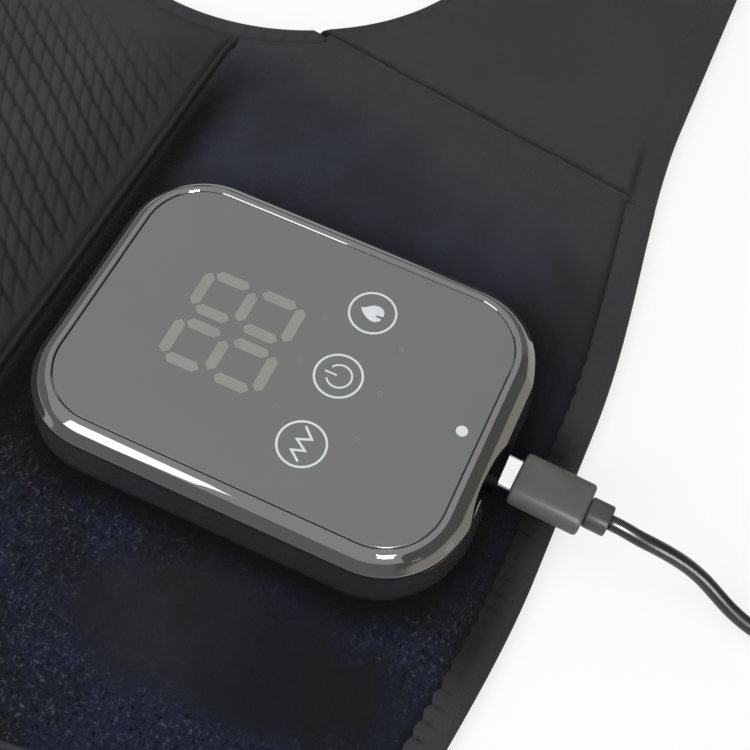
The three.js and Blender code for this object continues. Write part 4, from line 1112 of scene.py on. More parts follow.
class CaseMaker(bpy.types.Operator):
    """The controller's case: rim with its bevels, and the lower case with the port"""

    bl_idname = "knee.case"
    bl_label = "Case"

    def execute(self, context):
        c = controller()
        parting = c.flare * PARTING_SHARE - c.wall
        inner = [(parting, 0.0049), (0.0016, 0.0031), (-0.0016, 0.0031), (-0.0016, 0.0019), (0.00016, 0.0019),
                 (0.00016, 0.0002), (0.00038, 0.00003)]
        points, faces = looped([case_ring(*place) for place in (*dense_profile(UPPER_PROFILE), *inner)])
        upper = piece("case_upper", (on_window(points), faces), gloss_finish("case"), "root", "case", 0.4,
                      "upper_housing")
        wall = [(0.0008, 0.0172), (0.0030, 0.0168), (0.0044, 0.0125), (parting, 0.0053)]
        points, faces = lofted([case_ring(*place) for place in (*wall, *dense_profile(LOWER_PROFILE))])
        lower = piece("case_lower", (on_window(points), faces), gloss_finish("case"), "root", "case", 0.6,
                      "lower_housing")
        block = rounded_ring(0.0130, 0.0019, 0.0012, 6) + (0, -(WINDOW_HALF[1] + 0.0024))
        combined(lower, prism(block, -0.0174, -0.0056), "UNION")
        self.cut_port(upper, lower, c.port_drop)
        return {"FINISHED"}

    def cut_port(self, upper, lower, drop):
        """The scoop in both halves, the port through the thick wall behind it, and the port's collar"""
        path = [(x * 0.001, -(WINDOW_HALF[1] + out * 0.001), 0) for x, out in SCOOP]
        outline = [(x, y) for x, y, _ in smooth_path(path, 0.0005)]
        for half in (upper, lower):
            combined(half, prism(outline, SCOOP_FOOT, SCOOP_TOP))
        mouth = WINDOW_HALF[1] + PORT_OUT

        def lowered(x, y, z):
            return x, y, z - drop

        bore = [(*PORT_SECTION, 0.00225, out) for out in (0.0440, mouth + 0.002)]
        combined(lower, lofted(pushed_rings(bore, lowered)))
        points, faces = looped(pushed_rings([
            (0.0059, 0.00305, 0.0026, WINDOW_HALF[1] + 0.0036), (0.0059, 0.00305, 0.0026, mouth - 0.0003),
            (0.0056, 0.00275, 0.0023, mouth), (0.0053, 0.00245, 0.0024, mouth), (*PORT_SECTION, 0.0022, mouth - 0.0002),
            (*PORT_SECTION, 0.0022, WINDOW_HALF[1] + 0.0036),
        ], lowered))
        piece("port_collar", (on_window(points), faces), shadow_finish(), "root", "case", 0.7)
        for half in (upper, lower):
            half.data.polygons.foreach_set("use_smooth", [True] * len(half.data.polygons))
            half.data.set_sharp_from_angle(angle=0.6)


def ribbon_skin(path, width, closed=False):
    """A printed line of even width"""
    p = np.asarray(path, float)
    along = unit(np.roll(p, -1, 0) - np.roll(p, 1, 0) if closed else np.gradient(p, axis=0))
    side = np.column_stack([-along[:, 1], along[:, 0]]) * width / 2
    n = len(p)
    low, high = PRINT
    rings = [np.column_stack([edge, np.full(n, z)])
             for edge, z in ((p + side, low), (p + side, high), (p - side, high), (p - side, low))]
    faces = []
    for k in range(4):
        a, b = k * n, (k + 1) % 4 * n
        for i in range(n if closed else n - 1):
            j = (i + 1) % n
            faces.append((a + i, a + j, b + j, b + i))
    if not closed:
        faces += [(0, n, 2 * n, 3 * n), (4 * n - 1, 3 * n - 1, 2 * n - 1, n - 1)]
    points = np.concatenate(rings)
    return points, outward(points, faces)


def flat_skin(outline, high=PRINT[1]):
    points, faces = prism(outline, PRINT[0], high)
    return points, outward(points, faces)


def printed(name, skins, material):
    points, faces = merged(skins)
    object_from(name, on_window(points), faces, material, "root", 0.5)


def arc(cx, cy, radius, start, end, steps):
    return [(cx + radius * math.cos(a), cy + radius * math.sin(a)) for a in np.radians(np.linspace(start, end, steps))]


class WindowMaker(bpy.types.Operator):
    """The window with its digits, touch icons, charge light and sensor dots"""

    bl_idname = "knee.window"
    bl_label = "Window and icons"

    def execute(self, context):
        c = controller()
        t = c.thickness
        points, faces = lofted([case_ring(o, d, 24) for o, d in (
            (-0.0006, t), (-0.00015, t), (0.0, t - 0.00012), (0.0, 0.00022), (-0.00003, 0.00012), (-0.0001, 0.00004),
            (-0.00022, 0.00001), (-0.0004, 0.0))])
        piece("window", (on_window(points), faces), window_finish(), "root", "window", 0.9, "display_panel")
        segments = [self.segment(shift, a, b) for shift in (0.0, -0.0137) for a, b in SEGMENTS]
        printed("digit_segments", segments, printed_finish("digits"))
        for name, cx, cy in (("flame", 0.0183, -0.0119), ("power", 0.0004, -0.0119), ("vibration", -0.0177, -0.01195)):
            ring = ribbon_skin(arc(cx, cy, c.icon_radius - c.icon_stroke / 2, 0, 355, 72), c.icon_stroke, True)
            skins = [ring, *getattr(self, name)(cx, cy, c.icon_stroke)]
            printed(f"{name}_icon", skins, printed_finish("icons"))
        points, faces = flat_skin(arc(0, 0, c.light_radius, 0, 352, 40))
        printed("charge_light_dot", [(points + (0, -0.0411, 0), faces)], printed_finish("icons"))
        dots = [flat_skin(arc(x, y, 0.0007, 0, 345, 20), PRINT[1] * 0.7) for x, y in SENSOR_DOTS]
        faint = [round(part * 1.22, 4) for part in finish_of("window")]
        printed("sensor_dots", dots, plain_finish(*faint, 0.35))
        return {"FINISHED"}

    def segment(self, shift, start, end):
        """One bar of a digit, pointed at both ends"""
        a, b = Vector(start) * 0.001, Vector(end) * 0.001
        along = (b - a).normalized()
        side = Vector((-along.y, along.x)) * controller().digit_stroke / 2
        tip = along * controller().digit_stroke * 0.42
        outline = [a, a + tip - side, b - tip - side, b, b - tip + side, a + tip + side]
        return flat_skin([(p.x + shift, p.y) for p in outline])

    def flame(self, cx, cy, width):
        return [flat_skin([(cx + x * 0.00112, cy + y * 0.00112) for x, y in reversed(FLAME)])]

    def power(self, cx, cy, width):
        bar = [(cx, cy + 0.0004 + 0.0001 * i) for i in range(29)]
        return [ribbon_skin(path, width * 0.85) for path in (arc(cx, cy - 0.0002, 0.0028, 122, 418, 40), bar)]

    def vibration(self, cx, cy, width):
        path = np.array(ZIGZAG) * 0.001 + (cx, cy)
        along = unit(np.diff(path, axis=0))
        side = np.column_stack([-along[:, 1], along[:, 0]])
        edge = []
        for i in range(len(path)):
            a, b = side[max(i - 1, 0)], side[min(i, len(side) - 1)]
            mitre = (a + b) / max(float(np.dot(a + b, a)), 0.3)
            edge.append(mitre * width * 0.5)
        edge = np.array(edge)
        return [flat_skin([tuple(p) for p in (*(path + edge), *(path - edge)[::-1])])]


# Cloth

# Where the covers' edges begin to rise, how far they go under the border, and what keeps them off what is beneath
COVER_INSET, TUCK = 0.0068, 0.0022
LINING_GAP, FOAM_GAP, LEAST_COVER, LEAST_HEM = 0.0001, 0.00015, 0.0006, 0.0005
# How far a cover's end and side are drawn down: reach and depth
END_SEWN, SIDE_SEWN = (0.003, 0.0014), (0.0022, 0.0012)
# The rounded edges of straps and seams, above and below, and the least share of their thickness at the edge
ROUND_TOP, ROUND_UNDER, EDGE_SHARE = 0.0021, 0.0019, 0.002
# The filling's grid, its frames, and how far it may move a cover
FILL_STEP, FILL_FRAMES, FILL_SPREAD = 0.005, 20, 0.0025
STITCH_PITCH, STITCH_WIDTH = 0.0055, 0.00075


def keep_relief(mesh, relief):
    """Keeps the painted shade at each point as the relief attribute, for its finish"""
    layer = mesh.attributes.new("relief", "FLOAT", "POINT")
    layer.data.foreach_set("value", np.asarray(relief, np.float32))


def cloth_object(name, x, y, top, under, material, relief, body="root"):
    """A soft closed piece over a grid of places"""
    points, faces = quilted(x, y, top, under)
    obj = rounded_object(name, points, faces, material)
    if signed_volume(points, faces) < 0:
        obj.data.flip_normals()
    # The relief attribute holds the painted shade at each point
    keep_relief(obj.data, np.concatenate([relief.ravel(), relief.ravel()]))
    if body:
        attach(obj, body)
    return obj


def signed_volume(points, faces):
    a, b, c, d = (points[faces[:, k]] for k in range(4))
    return float(np.einsum("ij,ij->i", a, np.cross(b, c)).sum() + np.einsum("ij,ij->i", a, np.cross(c, d)).sum())


def tree_of(mesh):
    return BVHTree.FromPolygons([v.co.copy() for v in mesh.vertices], [tuple(p.vertices) for p in mesh.polygons])


def dropped(tree, x, y, otherwise):
    """Height of a surface under each place, or the other height where there is none"""
    heights = otherwise.flatten()
    for i, (px, py) in enumerate(zip(x.ravel(), y.ravel())):
        hit = tree.ray_cast((px, py, 0.05), (0, 0, -1))[0]
        if hit is not None:
            heights[i] = hit.z
    return heights.reshape(x.shape)


def edge_roll(distance, reach, depth):
    """How far a cover dips where it is sewn down"""
    return depth * (1 - quarter_round(distance, reach))


def inflated():
    """The knee pad's cover filled by a cloth simulation, sewn down along its rim"""
    w = wrap()
    xs = np.arange(-0.095, 0.095 + FILL_STEP, FILL_STEP)
    ys = np.arange(w.groove_y, w.strap_bottom + 0.001 + FILL_STEP, FILL_STEP)
    x, y = np.meshgrid(xs, ys)
    x = np.clip(x, -body_edge(y, 0.0072), body_edge(y, 0.0072))
    top = cover_height(x, y, COVER_INSET)
    obj = mesh_object("filling", *quilted(x, y, top, np.full_like(top, 0.0016)))
    obj.data.validate()
    remesh = obj.modifiers.new("even", "REMESH")
    remesh.mode, remesh.voxel_size = "VOXEL", FILL_STEP
    applied(obj)
    sewn = [
        v.index for v in obj.data.vertices
        if v.co.z < 0.0035 or abs(v.co.x) >= float(body_edge(np.array(v.co.y), 0.009))
        or not w.groove_y + 0.005 < v.co.y < w.strap_bottom - 0.006
    ]
    obj.vertex_groups.new(name="sewn").add(sewn, 1.0, "REPLACE")
    s = obj.modifiers.new("filling", "CLOTH").settings
    s.quality, s.mass, s.air_damping = 6, 0.2, 2.0
    s.tension_stiffness = s.compression_stiffness = s.shear_stiffness = 30.0
    s.bending_stiffness = 4.0
    s.use_pressure, s.uniform_pressure_force = True, 4.0
    s.vertex_group_mass = "sewn"
    s.effector_weights.gravity = 0
    scene = bpy.context.scene
    for number in range(1, FILL_FRAMES + 1):
        scene.frame_set(number)
    applied(obj)
    tree = tree_of(obj.data)
    bpy.data.objects.remove(obj)
    scene.frame_set(1)
    return tree


def scale_relief(x, y):
    """Rows of overlapping leaf-shaped scales, from 0 in the crevices to 1 on the scales"""
    w = wrap()
    turn = math.radians(54)
    wander = 0.0011 * (value_noise(x / 0.016, y / 0.016, 5) - 0.5)
    u = x * math.cos(turn) + y * math.sin(turn) + wander
    v = -x * math.sin(turn) + y * math.cos(turn) + 0.0011 * (value_noise(x / 0.013, y / 0.013, 6) - 0.5)
    row = np.floor(v / w.scale_width)
    across = v / w.scale_width - row - 0.5
    lay = u / w.scale_length + 0.5 * np.mod(row, 2) + 0.46 * np.sin(np.pi * across)
    share = lay - np.floor(lay)
    reach = 0.76 + 0.24 * np.sin(np.pi * share) ** 0.7
    body = clamped(1 - (np.abs(2 * across) / reach) ** 2.4)
    leaf = (1 - (1 - clamped(share / 0.34)) ** 2.2) * (1 - clamped((share - 0.80) / 0.20) ** 1.6)
    return clamped(body * 1.5) * mix(0.30, 1.0, leaf)


def notch_distance(x, y):
    w = wrap()
    return np.hypot(np.abs(x) - w.notch_depth - w.notch_radius, y) - w.notch_radius + w.notch_fullness


def case_distance(x, y):
    """Distance outwards from the controller's case"""
    c = controller()
    dx = np.abs(x - WINDOW_CENTRE.x) - (WINDOW_HALF[0] + c.flare - 0.018)
    dy = np.abs(y - WINDOW_CENTRE.y) - (WINDOW_HALF[1] + c.flare - 0.018)
    return np.hypot(np.maximum(dx, 0), np.maximum(dy, 0)) + np.minimum(np.maximum(dx, dy), 0) - 0.018


def margins(x, y, sign):
    """From a place on a cover to the wrap's side, its end and the groove, and the least of these"""
    side = cover_limit(y) - np.abs(x)
    edge = end_line(x, wrap().border_width - TUCK) - sign * y
    groove = sign * (y - wrap().groove_y)
    return side, edge, groove, np.minimum(np.minimum(edge, side), groove)


def dimmed(shown, least, share):
    """Painted shade: darker where the share is under 1, down to the least"""
    return shown * mix(least, 1.0, smooth(share))


def cover(name, node, x, y, top, material, shown):
    """A padded cover that stays clear of the lining and the foam core"""
    under = np.full_like(top, wrap().lining + LINING_GAP)
    foam = dropped(tree_of(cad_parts["foam_core"].data), x, y, np.zeros_like(x))
    top = np.maximum(top, np.maximum(under + LEAST_COVER, foam + FOAM_GAP))
    made = cloth_object(name, x, y, top, under, material, shown)
    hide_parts(node)


class PadMaker(bpy.types.Operator):
    """The knee pad: a cover filled by simulation, with its woven scales"""

    bl_idname = "knee.pad"
    bl_label = "Knee pad"

    def execute(self, context):
        w = wrap()
        rows, columns = ((330, 400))
        x, y = cover_grid(lambda x: np.full_like(x, w.groove_y), lambda x: end_line(x, w.border_width - TUCK),
                          rows, columns)
        top = plan = cover_height(x, y, COVER_INSET)
        top = np.clip(dropped(inflated(), x, y, plan), plan - FILL_SPREAD, plan + FILL_SPREAD)
        side, edge, groove, near = margins(x, y, 1)
        top = mix(plan, top, smooth((near - 0.004) / 0.02))
        top = top + 0.0005 * (value_noise(x / 0.03, y / 0.024, 3) - 0.5) * smooth(near / 0.01)
        top = top - edge_roll(edge, *END_SEWN) - edge_roll(side, *SIDE_SEWN)
        fading = smooth((notch_distance(x, y) - 0.011) / 0.034) * smooth((groove - 0.0018) / 0.006)
        fading = fading * smooth((edge - 0.002) / 0.003) * smooth((side - 0.002) / 0.004)
        relief = scale_relief(x, y)
        top = top + w.scale_relief * (relief - 0.7) * fading
        wander = 0.0003 * (value_noise(x / 0.006, x * 0, 7) - 0.5)
        ditch = bell(groove - 0.0017, wander, 0.00055)
        opened = smooth((side - 0.0005) / 0.004)
        top = top - (0.0008 * ditch + edge_roll(groove, 0.0009, 0.0030)) * mix(0.1, 1.0, opened)
        # Painted shade: darker in the crevices between the scales, in the ditch by the groove, at the sewn side and
        # towards the groove
        shown = mix(1.0, 0.50 + 0.50 * relief, fading * 0.9) * (1 - 0.6 * ditch * opened)
        shown = shown * mix(1.0, mix(0.1, 1.0, smooth(groove / 0.0004)), opened)
        shown = dimmed(dimmed(shown, 0.6, side / 0.0016), 0.6, groove / 0.036)
        cover("knee_pad", "knee_pad_cover", x, y, top, scale_finish(), shown)
        return {"FINISHED"}


class PileMaker(bpy.types.Operator):
    """The pile panel round the controller"""

    bl_idname = "knee.pile"
    bl_label = "Pile panel"

    def execute(self, context):
        w = wrap()
        rows, columns = ((260, 400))
        x, y = cover_grid(lambda x: -end_line(x, w.border_width - TUCK),
                          lambda x: np.full_like(x, w.groove_y - 0.00002), rows, columns)
        top = cover_height(x, y, COVER_INSET)
        side, edge, groove, near = margins(x, y, -1)
        top = top + 0.0004 * (value_noise(x / 0.022, y / 0.02, 11) - 0.5) * smooth(near / 0.02)
        top = top - edge_roll(edge, *END_SEWN) - edge_roll(side, *SIDE_SEWN)
        top = top - edge_roll(groove, 0.0045, 0.0030) * mix(0.05, 1.0, smooth((side - 0.001) / 0.006))
        tufts = value_noise(x / 0.0014, y / 0.0014, 21) + 0.6 * value_noise(x / 0.0034, y / 0.0034, 22)
        top = top + 0.00018 * (tufts - 0.8) * mix(0.25, 1.0, smooth((groove - 0.004) / 0.012))
        ragged = 0.0014 * (value_noise(x / 0.0025, y / 0.0025, 23) - 0.5)
        opened = smooth((side - 0.002) / 0.034)
        # Painted shadow: near black along the groove under the pad's roll, darker at the sewn side and end
        shown = mix(mix(1.0, 0.0, opened), 1.0, smooth((groove - 0.0045 + ragged) / 0.0125))
        shown = dimmed(dimmed(shown, 0.6, side / 0.0014), 0.3, (edge - 0.0008) / 0.0035)
        # Painted shadow cast by the case, reaching further on its +X side
        past = case_distance(x, y) + ragged
        reach = mix(0.008, 0.020, smooth((x - WINDOW_CENTRE.x) / 0.03))
        shown = shown * mix(0.12, 1.0, smooth(past / reach) ** 0.8)
        # Painted shadow of the plug and case on the pile beside the port
        plug_shadow = smooth((-0.126 - y) / 0.008) * smooth((0.024 - x) / 0.016) * smooth((x + 0.042) / 0.018)
        shown = shown * mix(1.0, 0.38, plug_shadow)
        cover("pile_panel", "loop_panel", x, y, top, pile_finish(), shown)
        return {"FINISHED"}


def wrap_outline(inset, step):
    """The wrap's outline between its straps, evenly spaced and closed"""
    high = wrap().strap_bottom
    for _ in range(8):
        high = float(end_line(float(body_edge(np.array(high), inset)), inset))
    ys = np.linspace(-high, high, 600)
    right = np.column_stack([body_edge(ys, inset), ys])
    reach = float(body_edge(np.array(high), inset))
    xs = np.linspace(reach, -reach, 400)[1:-1]
    upper = np.column_stack([xs, end_line(xs, inset)])
    left = np.column_stack([-right[::-1, 0], right[::-1, 1]])
    lower = np.column_stack([xs[::-1], -end_line(xs[::-1], inset)])
    return evened(np.vstack([right, upper, left, lower, right[:1]]), step)[:-1]


# Shares of a hem's width at which it is drawn
ACROSS = np.array([0, 0.012, 0.035, 0.07, 0.12, 0.18, 0.25, 0.34, 0.43, 0.52, 0.61, 0.69, 0.76, 0.82, 0.87, 0.91,
                   0.945, 0.97, 0.99, 1.0])


def turned(outer, inward, width, low_ends):
    """Places and heights of a turned hem: rounded outer edge, flat top, inner edge sewn down"""
    w = wrap()
    d = ACROSS[:, None] * width[None, :]
    x = outer[None, :, 0] + inward[None, :, 0] * d
    y = outer[None, :, 1] + inward[None, :, 1] * d
    half = w.border_height / 2
    top = half + (half - 0.0001) * quarter_round(d, 0.0024)
    top = top - edge_roll(width[None, :] - d, 0.0014, 0.0020) - edge_roll(low_ends[None, :], 0.0030, 0.0013)
    under = np.where(d < 0.0022, half - (half - 0.00005) * quarter_round(d, ROUND_UNDER), w.lining + LINING_GAP)
    return x, y, d, top, under


class HemMaker(bpy.types.Operator):
    """The turned border across the ends, the hem along the notches, and the lining beneath"""

    bl_idname = "knee.hem"
    bl_label = "Hem and lining"

    def execute(self, context):
        near = self.border("near_border", -1, 51)
        self.border("far_border", 1, 52)
        self.notch_hem("right_notch_hem", 1)
        self.notch_hem("left_notch_hem", -1)
        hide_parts("hem_border")
        outline = wrap_outline(0.0023, 0.003)
        lining = piece("lining", prism(outline, 0.0, wrap().lining), knit_finish(0.8), "root", "lining_fabric", 0.6,
                       "inner_lining")
        open_all_over(lining)
        return {"FINISHED"}

    def border(self, name, sy, seed):
        """A border with puckered lobes along its inner edge"""
        w = wrap()
        reach = float(body_edge(np.array(w.strap_bottom))) - 0.0004
        x = np.linspace(-reach, reach, 520)
        outer = np.column_stack([x, sy * end_line(x)])
        along = unit(np.gradient(outer, axis=0))
        inward = np.column_stack([along[:, 1], -along[:, 0]]) * sy
        lobes, dents = self.puckers(x, seed)
        x, y, d, top, under = turned(outer, inward, w.border_width + lobes, reach - np.abs(x))
        share = d / (w.border_width + lobes)[None, :]
        inner = smooth((share - 0.35) / 0.5)
        dip = bell(share, 0.72, 0.16)
        top = top + 0.0005 * (lobes / 0.0009)[None, :] * inner
        top = top + 0.0003 * (value_noise(x / 0.009, y / 0.006, seed) - 0.5) * inner
        top = top - 0.0006 * dents[None, :] * dip
        # Painted shade: darker along the sewn inner edge and in the dents
        shown = mix(1.0, 0.25, smooth((share - 0.9) / 0.1)) * (1 - 0.5 * dents[None, :] * dip)
        # Painted shadow of the plug and case across the near border, deeper towards its inner edge
        if sy < 0:
            plug_shadow = smooth((0.0215 - x) / 0.011) * smooth((x + 0.060) / 0.020)
            shown = shown * mix(1.0, mix(0.74, 0.24, smooth((share - 0.1) / 0.6)), plug_shadow)
        top = np.maximum(top, under + LEAST_HEM)
        return cloth_object(name, x, y, top, under, knit_finish(1.0), shown)

    def puckers(self, x, seed):
        """Uneven lobes along a seam and the dents between some of them"""
        wave = np.sin(np.pi * (x / wrap().stitch_pitch + 0.9 * value_noise(x / 0.013, x * 0, seed)))
        lobes = 0.0009 * (np.abs(wave) - 0.6) * mix(0.35, 1.0, value_noise(x / 0.011, x * 0, seed + 9))
        calm = smooth((x - 0.030) / 0.02)
        dents = bell(wave, 0, 0.3) * smooth((value_noise(x / 0.009, x * 0, seed + 5) - 0.4) / 0.3)
        return lobes * mix(1.0, 0.25, calm), dents * mix(1.0, 0.3, calm)

    def notch_hem(self, name, sx):
        """The hem round a notch, with its whip stitches"""
        w = wrap()
        end = w.seam_top + 0.0012
        y = np.linspace(-end, end, 260)
        outer = np.column_stack([np.minimum(notch_line(y), seam_line(y) - 0.0008), y])
        width = np.maximum(outer[:, 0] - notch_line(y, w.hem_width), 0.0002)
        inward = np.column_stack([-np.ones_like(y), np.zeros_like(y)])
        x, y, d, top, under = turned(outer, inward, width, end - np.abs(y))
        along = np.arcsin(clamped(np.abs(y) / (w.notch_radius + 0.002))) * np.sign(y) * w.notch_radius
        ticks = whip_stitches(along, notch_distance(x, y))
        # Painted shade: a little darker at the sewn inner edge and in the whip stitches' dents
        shown = mix(1.0, 0.85, smooth((d / width[None, :] - 0.85) / 0.15)) * (1 - 0.14 * ticks)
        top = np.maximum(top - 0.0002 * ticks, under + LEAST_HEM)
        cloth_object(name, x * sx, y, top, under, knit_finish(1.0), shown)


def whip_stitches(along, inset):
    """Short marks across the hem, from 0 to 1"""
    number = np.round(along / STITCH_PITCH)
    wander = 0.0004 * (value_noise(number * 3.1, number * 0, 61) - 0.5)
    ticks = bell(along - number * STITCH_PITCH, wander, STITCH_WIDTH)
    return ticks * smooth((inset - 0.0020) / 0.0009) * smooth((0.0062 - inset) / 0.0009)


# No painted shade: the relief attribute is 1 all over
def open_all_over(obj):
    keep_relief(obj.data, np.ones(len(obj.data.vertices)))


def strap_top_edge(x):
    w = wrap()
    past = np.minimum(x - w.notch_depth - w.notch_radius, 0)
    radius = w.notch_radius - w.notch_fullness
    arc_edge = np.sqrt(np.maximum(radius**2 - past**2, (w.seam_top - 0.0036) ** 2))
    return arc_edge + strap_end(x)


def strap_end(x):
    w = wrap()
    past = np.maximum(x - (w.strap_reach - w.strap_corner), 0)
    return w.strap_corner - np.sqrt(np.maximum(w.strap_corner**2 - past**2, 0))


def strap_bottom_edge(x):
    return end_line(x) - strap_end(x)


def strap_grid(rows, columns):
    """A grid over the upper right strap, from its seam to its end"""
    w = wrap()
    share = np.linspace(0, 1, rows)[:, None] * np.ones((1, columns))
    along = np.ones((rows, 1)) * np.linspace(0, 1, columns)[None, :] ** 1.12
    y = mix(0.05, 0.13, share)
    for _ in range(10):
        x = mix(seam_line(y), w.strap_reach, along)
        y = mix(strap_top_edge(x), strap_bottom_edge(x), share)
    return x, y


def strap_heights(x, y):
    w = wrap()
    half = w.strap_thickness / 2
    from_seam = (x - seam_line(y)) * seam_cosine()
    from_inner, from_outer = y - strap_top_edge(x), strap_bottom_edge(x) - y
    from_edge = np.minimum(np.minimum(from_inner, from_outer), w.strap_reach - x)
    past = clamped((half - from_seam) / half)
    nose = half * np.maximum((1 - past**2.6) ** (1 / 2.6), 0.17)
    return from_seam, from_inner, from_outer, from_edge, half + nose, half - nose


class StrapMaker(bpy.types.Operator):
    """The four straps with their sewn borders"""

    bl_idname = "knee.straps"
    bl_label = "Straps"

    def execute(self, context):
        w = wrap()
        rows, columns = ((170, 420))
        x, y = strap_grid(rows, columns)
        from_seam, from_inner, from_outer, from_edge, top, under = strap_heights(x, y)
        wander = 0.0005 * (value_noise(x / 0.008, y / 0.008, 43) - 0.5)
        line = np.minimum(from_outer, w.strap_reach - x) - w.stitch_inset - wander
        strong = mix(0.10, 1.0, smooth((0.111 - x) / 0.010))
        ditch = bell(line, 0, 0.0009) * strong
        along = np.arctan2(y, w.notch_depth + w.notch_radius - x) * w.notch_radius
        ticks = whip_stitches(along, from_inner) * smooth((0.138 - x) / 0.012)
        waves = 0.0006 * (value_noise(x / 0.028, y / 0.024, 41) - 0.5)
        waves = waves * smooth(from_edge / 0.012) * smooth(from_seam / 0.012)
        pinch = 0.0003 * (value_noise(x / 0.004, y / 0.0045, 42) - 0.5) * smooth(from_seam / 0.004)
        pinch = pinch * mix(0.25, 1.0, bell(from_seam, 0.004, 0.003))
        top = top - 0.0008 * ditch - 0.0002 * ticks + waves + pinch
        half = w.strap_thickness / 2
        top = half + (top - half) * quarter_round(from_edge, ROUND_TOP, EDGE_SHARE)
        under = half - (half - under) * quarter_round(from_edge, ROUND_UNDER, EDGE_SHARE)
        # Painted shade: darker against the seam, in the stitch ditch and in the whip stitches' dents
        shown = mix(0.5, 1.0, smooth((from_seam - 0.0002) / 0.0014)) * (1 - 0.5 * ditch) * (1 - 0.14 * ticks)
        for name, sx, sy, body in (
            ("upper_right", 1, 1, "strap_ur"), ("lower_right", 1, -1, "strap_lr"),
            ("upper_left", -1, 1, "strap_ul"), ("lower_left", -1, -1, "strap_ll"),
        ):
            strap = cloth_object(f"{name}_strap", x * sx, y * sy, top, np.maximum(under, 0.00002), knit_finish(1.0),
                                 shown, body)
            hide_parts(f"strap_{name}")
            self.seam(name, sx, sy, body)
        return {"FINISHED"}

    def seam(self, name, sx, sy, body):
        """The sewn join of a strap"""
        w = wrap()
        reach, half = 0.0028, w.strap_thickness / 2
        down = np.linspace(0, 1, 260)
        across = np.linspace(-1, 1, 41)
        y = np.ones((41, 1)) * mix(w.seam_top + 0.0005, w.strap_bottom, down)[None, :]
        for _ in range(3):
            x = seam_line(y) + across[:, None] * reach
            y = mix(w.seam_top + 0.0005, end_line(x), down[None, :])
        y0 = y[20]
        wander = 0.0005 * (value_noise(y0 / 0.009, y0 * 0, 46) - 0.5)
        wander = wander + 0.0003 * (value_noise(y0 / 0.0017, y0 * 0, 47) - 0.5)
        off = across[:, None] * reach - wander[None, :]
        flap = mix(1.0, 0.0, smooth((np.abs(across)[:, None] - 0.55) / 0.45))
        crease = bell(off, 0, 0.0003 + 0.0007 * value_noise(y0 / 0.004, y0 * 0, 48)[None, :])
        notch = smooth((value_noise(x / 0.0018, y / 0.0021, 49) - 0.55) / 0.2) * bell(off, 0.0009, 0.0008)
        outer = end_line(x) - y
        fading = smooth((outer - w.border_width + 0.0012) / 0.0012)
        stitched = bell(outer - w.border_width + 0.0010, 0, 0.0008)
        level = mix(0.0037, 0.0046, flap) - edge_roll(y - w.seam_top, 0.0018, 0.0016)
        rounded = quarter_round(outer, ROUND_TOP, EDGE_SHARE)
        top = level - (0.0007 * crease + 0.0003 * notch) * fading - 0.0005 * stitched
        top = half + (top - half) * rounded
        under = half - (half - 0.0018 - 0.0003 * (1 - flap)) * rounded
        # Painted shade: darker in the crease, its notches and along the stitch line
        shown = 1 - (0.5 * crease + 0.28 * notch) * fading - 0.35 * stitched * (1 - crease * fading)
        strip = cloth_object(f"{name}_seam", x * sx, y * sy, top, np.minimum(under, top - 0.0001), knit_finish(1.0),
                             shown, None)
        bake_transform(strip)


class TabMaker(bpy.types.Operator):
    """Hook tabs under the left straps' ends"""

    bl_idname = "knee.tabs"
    bl_label = "Hook tabs"

    def execute(self, context):
        for name, body in (("upper_left", "strap_ul"), ("lower_left", "strap_ll")):
            low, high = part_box(f"hook_tab_{name}")
            centre, half = (low + high) / 2, (high - low) / 2
            ring = rounded_ring(half.x, half.y, 0.008, 8)
            rings = [np.column_stack([ring * s + (centre.x, centre.y), np.full(len(ring), z)])
                     for s, z in ((1.0, low.z), (1.0, high.z - 0.0002), (0.995, high.z))]
            tab = piece(f"{name}_hook_tab", lofted(rings), knit_finish(0.45), body, "hook_fabric", 0.6,
                        f"hook_tab_{name}")
            open_all_over(tab)
        return {"FINISHED"}


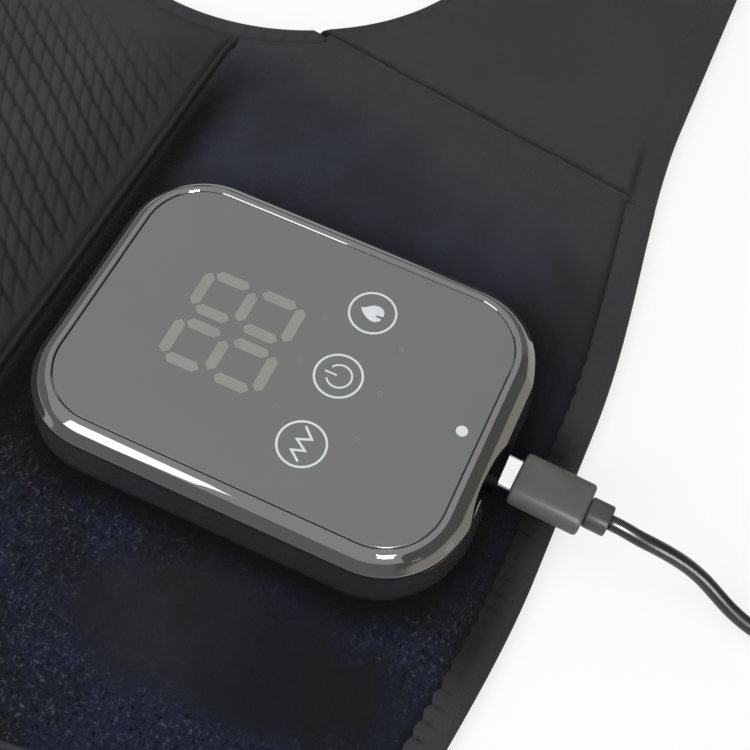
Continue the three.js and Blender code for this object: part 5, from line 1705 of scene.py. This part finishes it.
INNER_TONES = {
    "foam": (0.42, 0.41, 0.38, 0.9), "board": (0.02, 0.10, 0.05, 0.5), "battery": (0.12, 0.2, 0.36, 0.45),
    "film": (0.4, 0.2, 0.06, 0.35), "wire": (0.30, 0.03, 0.02, 0.45), "black": (0.015, 0.015, 0.016, 0.5),
    "white": (0.6, 0.6, 0.58, 0.5), "metal": (0.55, 0.54, 0.52, 0.3),
}
INNER_PIECES = {
    "foam": "foam_core", "board": "main_circuit_board", "battery": "battery_cell", "white": "charge_light",
    "film": "heating_film_left heating_film_right heating_film_knee",
    "wire": "wire_left_motor wire_right_motor wire_heater",
    "black": "base_plate beeper thermal_cutout motor_tray_left motor_tray_right motor_lid_left motor_lid_right "
             "digit_display",
    "metal": "flame_touch_spring power_touch_spring vibration_touch_spring usb_socket case_screw_1 case_screw_2 "
             "case_screw_3 case_screw_4 motor_can_left motor_can_right motor_shaft_left motor_shaft_right "
             "eccentric_weight_left eccentric_weight_right",
}


class InsideMaker(bpy.types.Operator):
    """Finishes of the pieces inside, which keep their own shapes"""

    bl_idname = "knee.inside"
    bl_label = "Inside pieces"

    def execute(self, context):
        for tone, names in INNER_PIECES.items():
            finish = metal_finish if tone == "metal" else plain_finish
            for name in names.split():
                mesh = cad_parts[name].data
                mesh.materials.clear()
                mesh.materials.append(finish(*INNER_TONES[tone]))
        return {"FINISHED"}


class KNEE_PT_pieces(bpy.types.Panel):
    """Lists the pieces in the 3D view's sidebar"""

    bl_idname = "KNEE_PT_pieces"
    bl_label = "Heated knee massager"
    bl_space_type = "VIEW_3D"
    bl_region_type = "UI"
    bl_category = "Knee massager"

    def draw(self, context):
        for maker in MAKERS:
            self.layout.operator(maker.bl_idname)
        for name in GROUPS:
            box = self.layout.box()
            group = getattr(context.scene, name)
            for key in type(group).__annotations__:
                box.prop(group, key)


MAKERS = (StageMaker, FarPlugMaker, LeadMaker, PlugMaker, CaseMaker, WindowMaker, PadMaker, PileMaker, HemMaker,
          StrapMaker, TabMaker, InsideMaker)


def register():
    for item in (*GROUPS.values(), *MAKERS, KNEE_PT_pieces):
        bpy.utils.register_class(item)
    for name, group in GROUPS.items():
        setattr(bpy.types.Scene, name, PointerProperty(type=group))


def unregister():
    for name in GROUPS:
        delattr(bpy.types.Scene, name)
    for item in (*MAKERS, KNEE_PT_pieces, *GROUPS.values()):
        bpy.utils.unregister_class(item)


def main():
    register()
    for maker in MAKERS:
        group, name = maker.bl_idname.split(".")
        getattr(getattr(bpy.ops, group), name)()


if __name__ == "__main__":
    main()
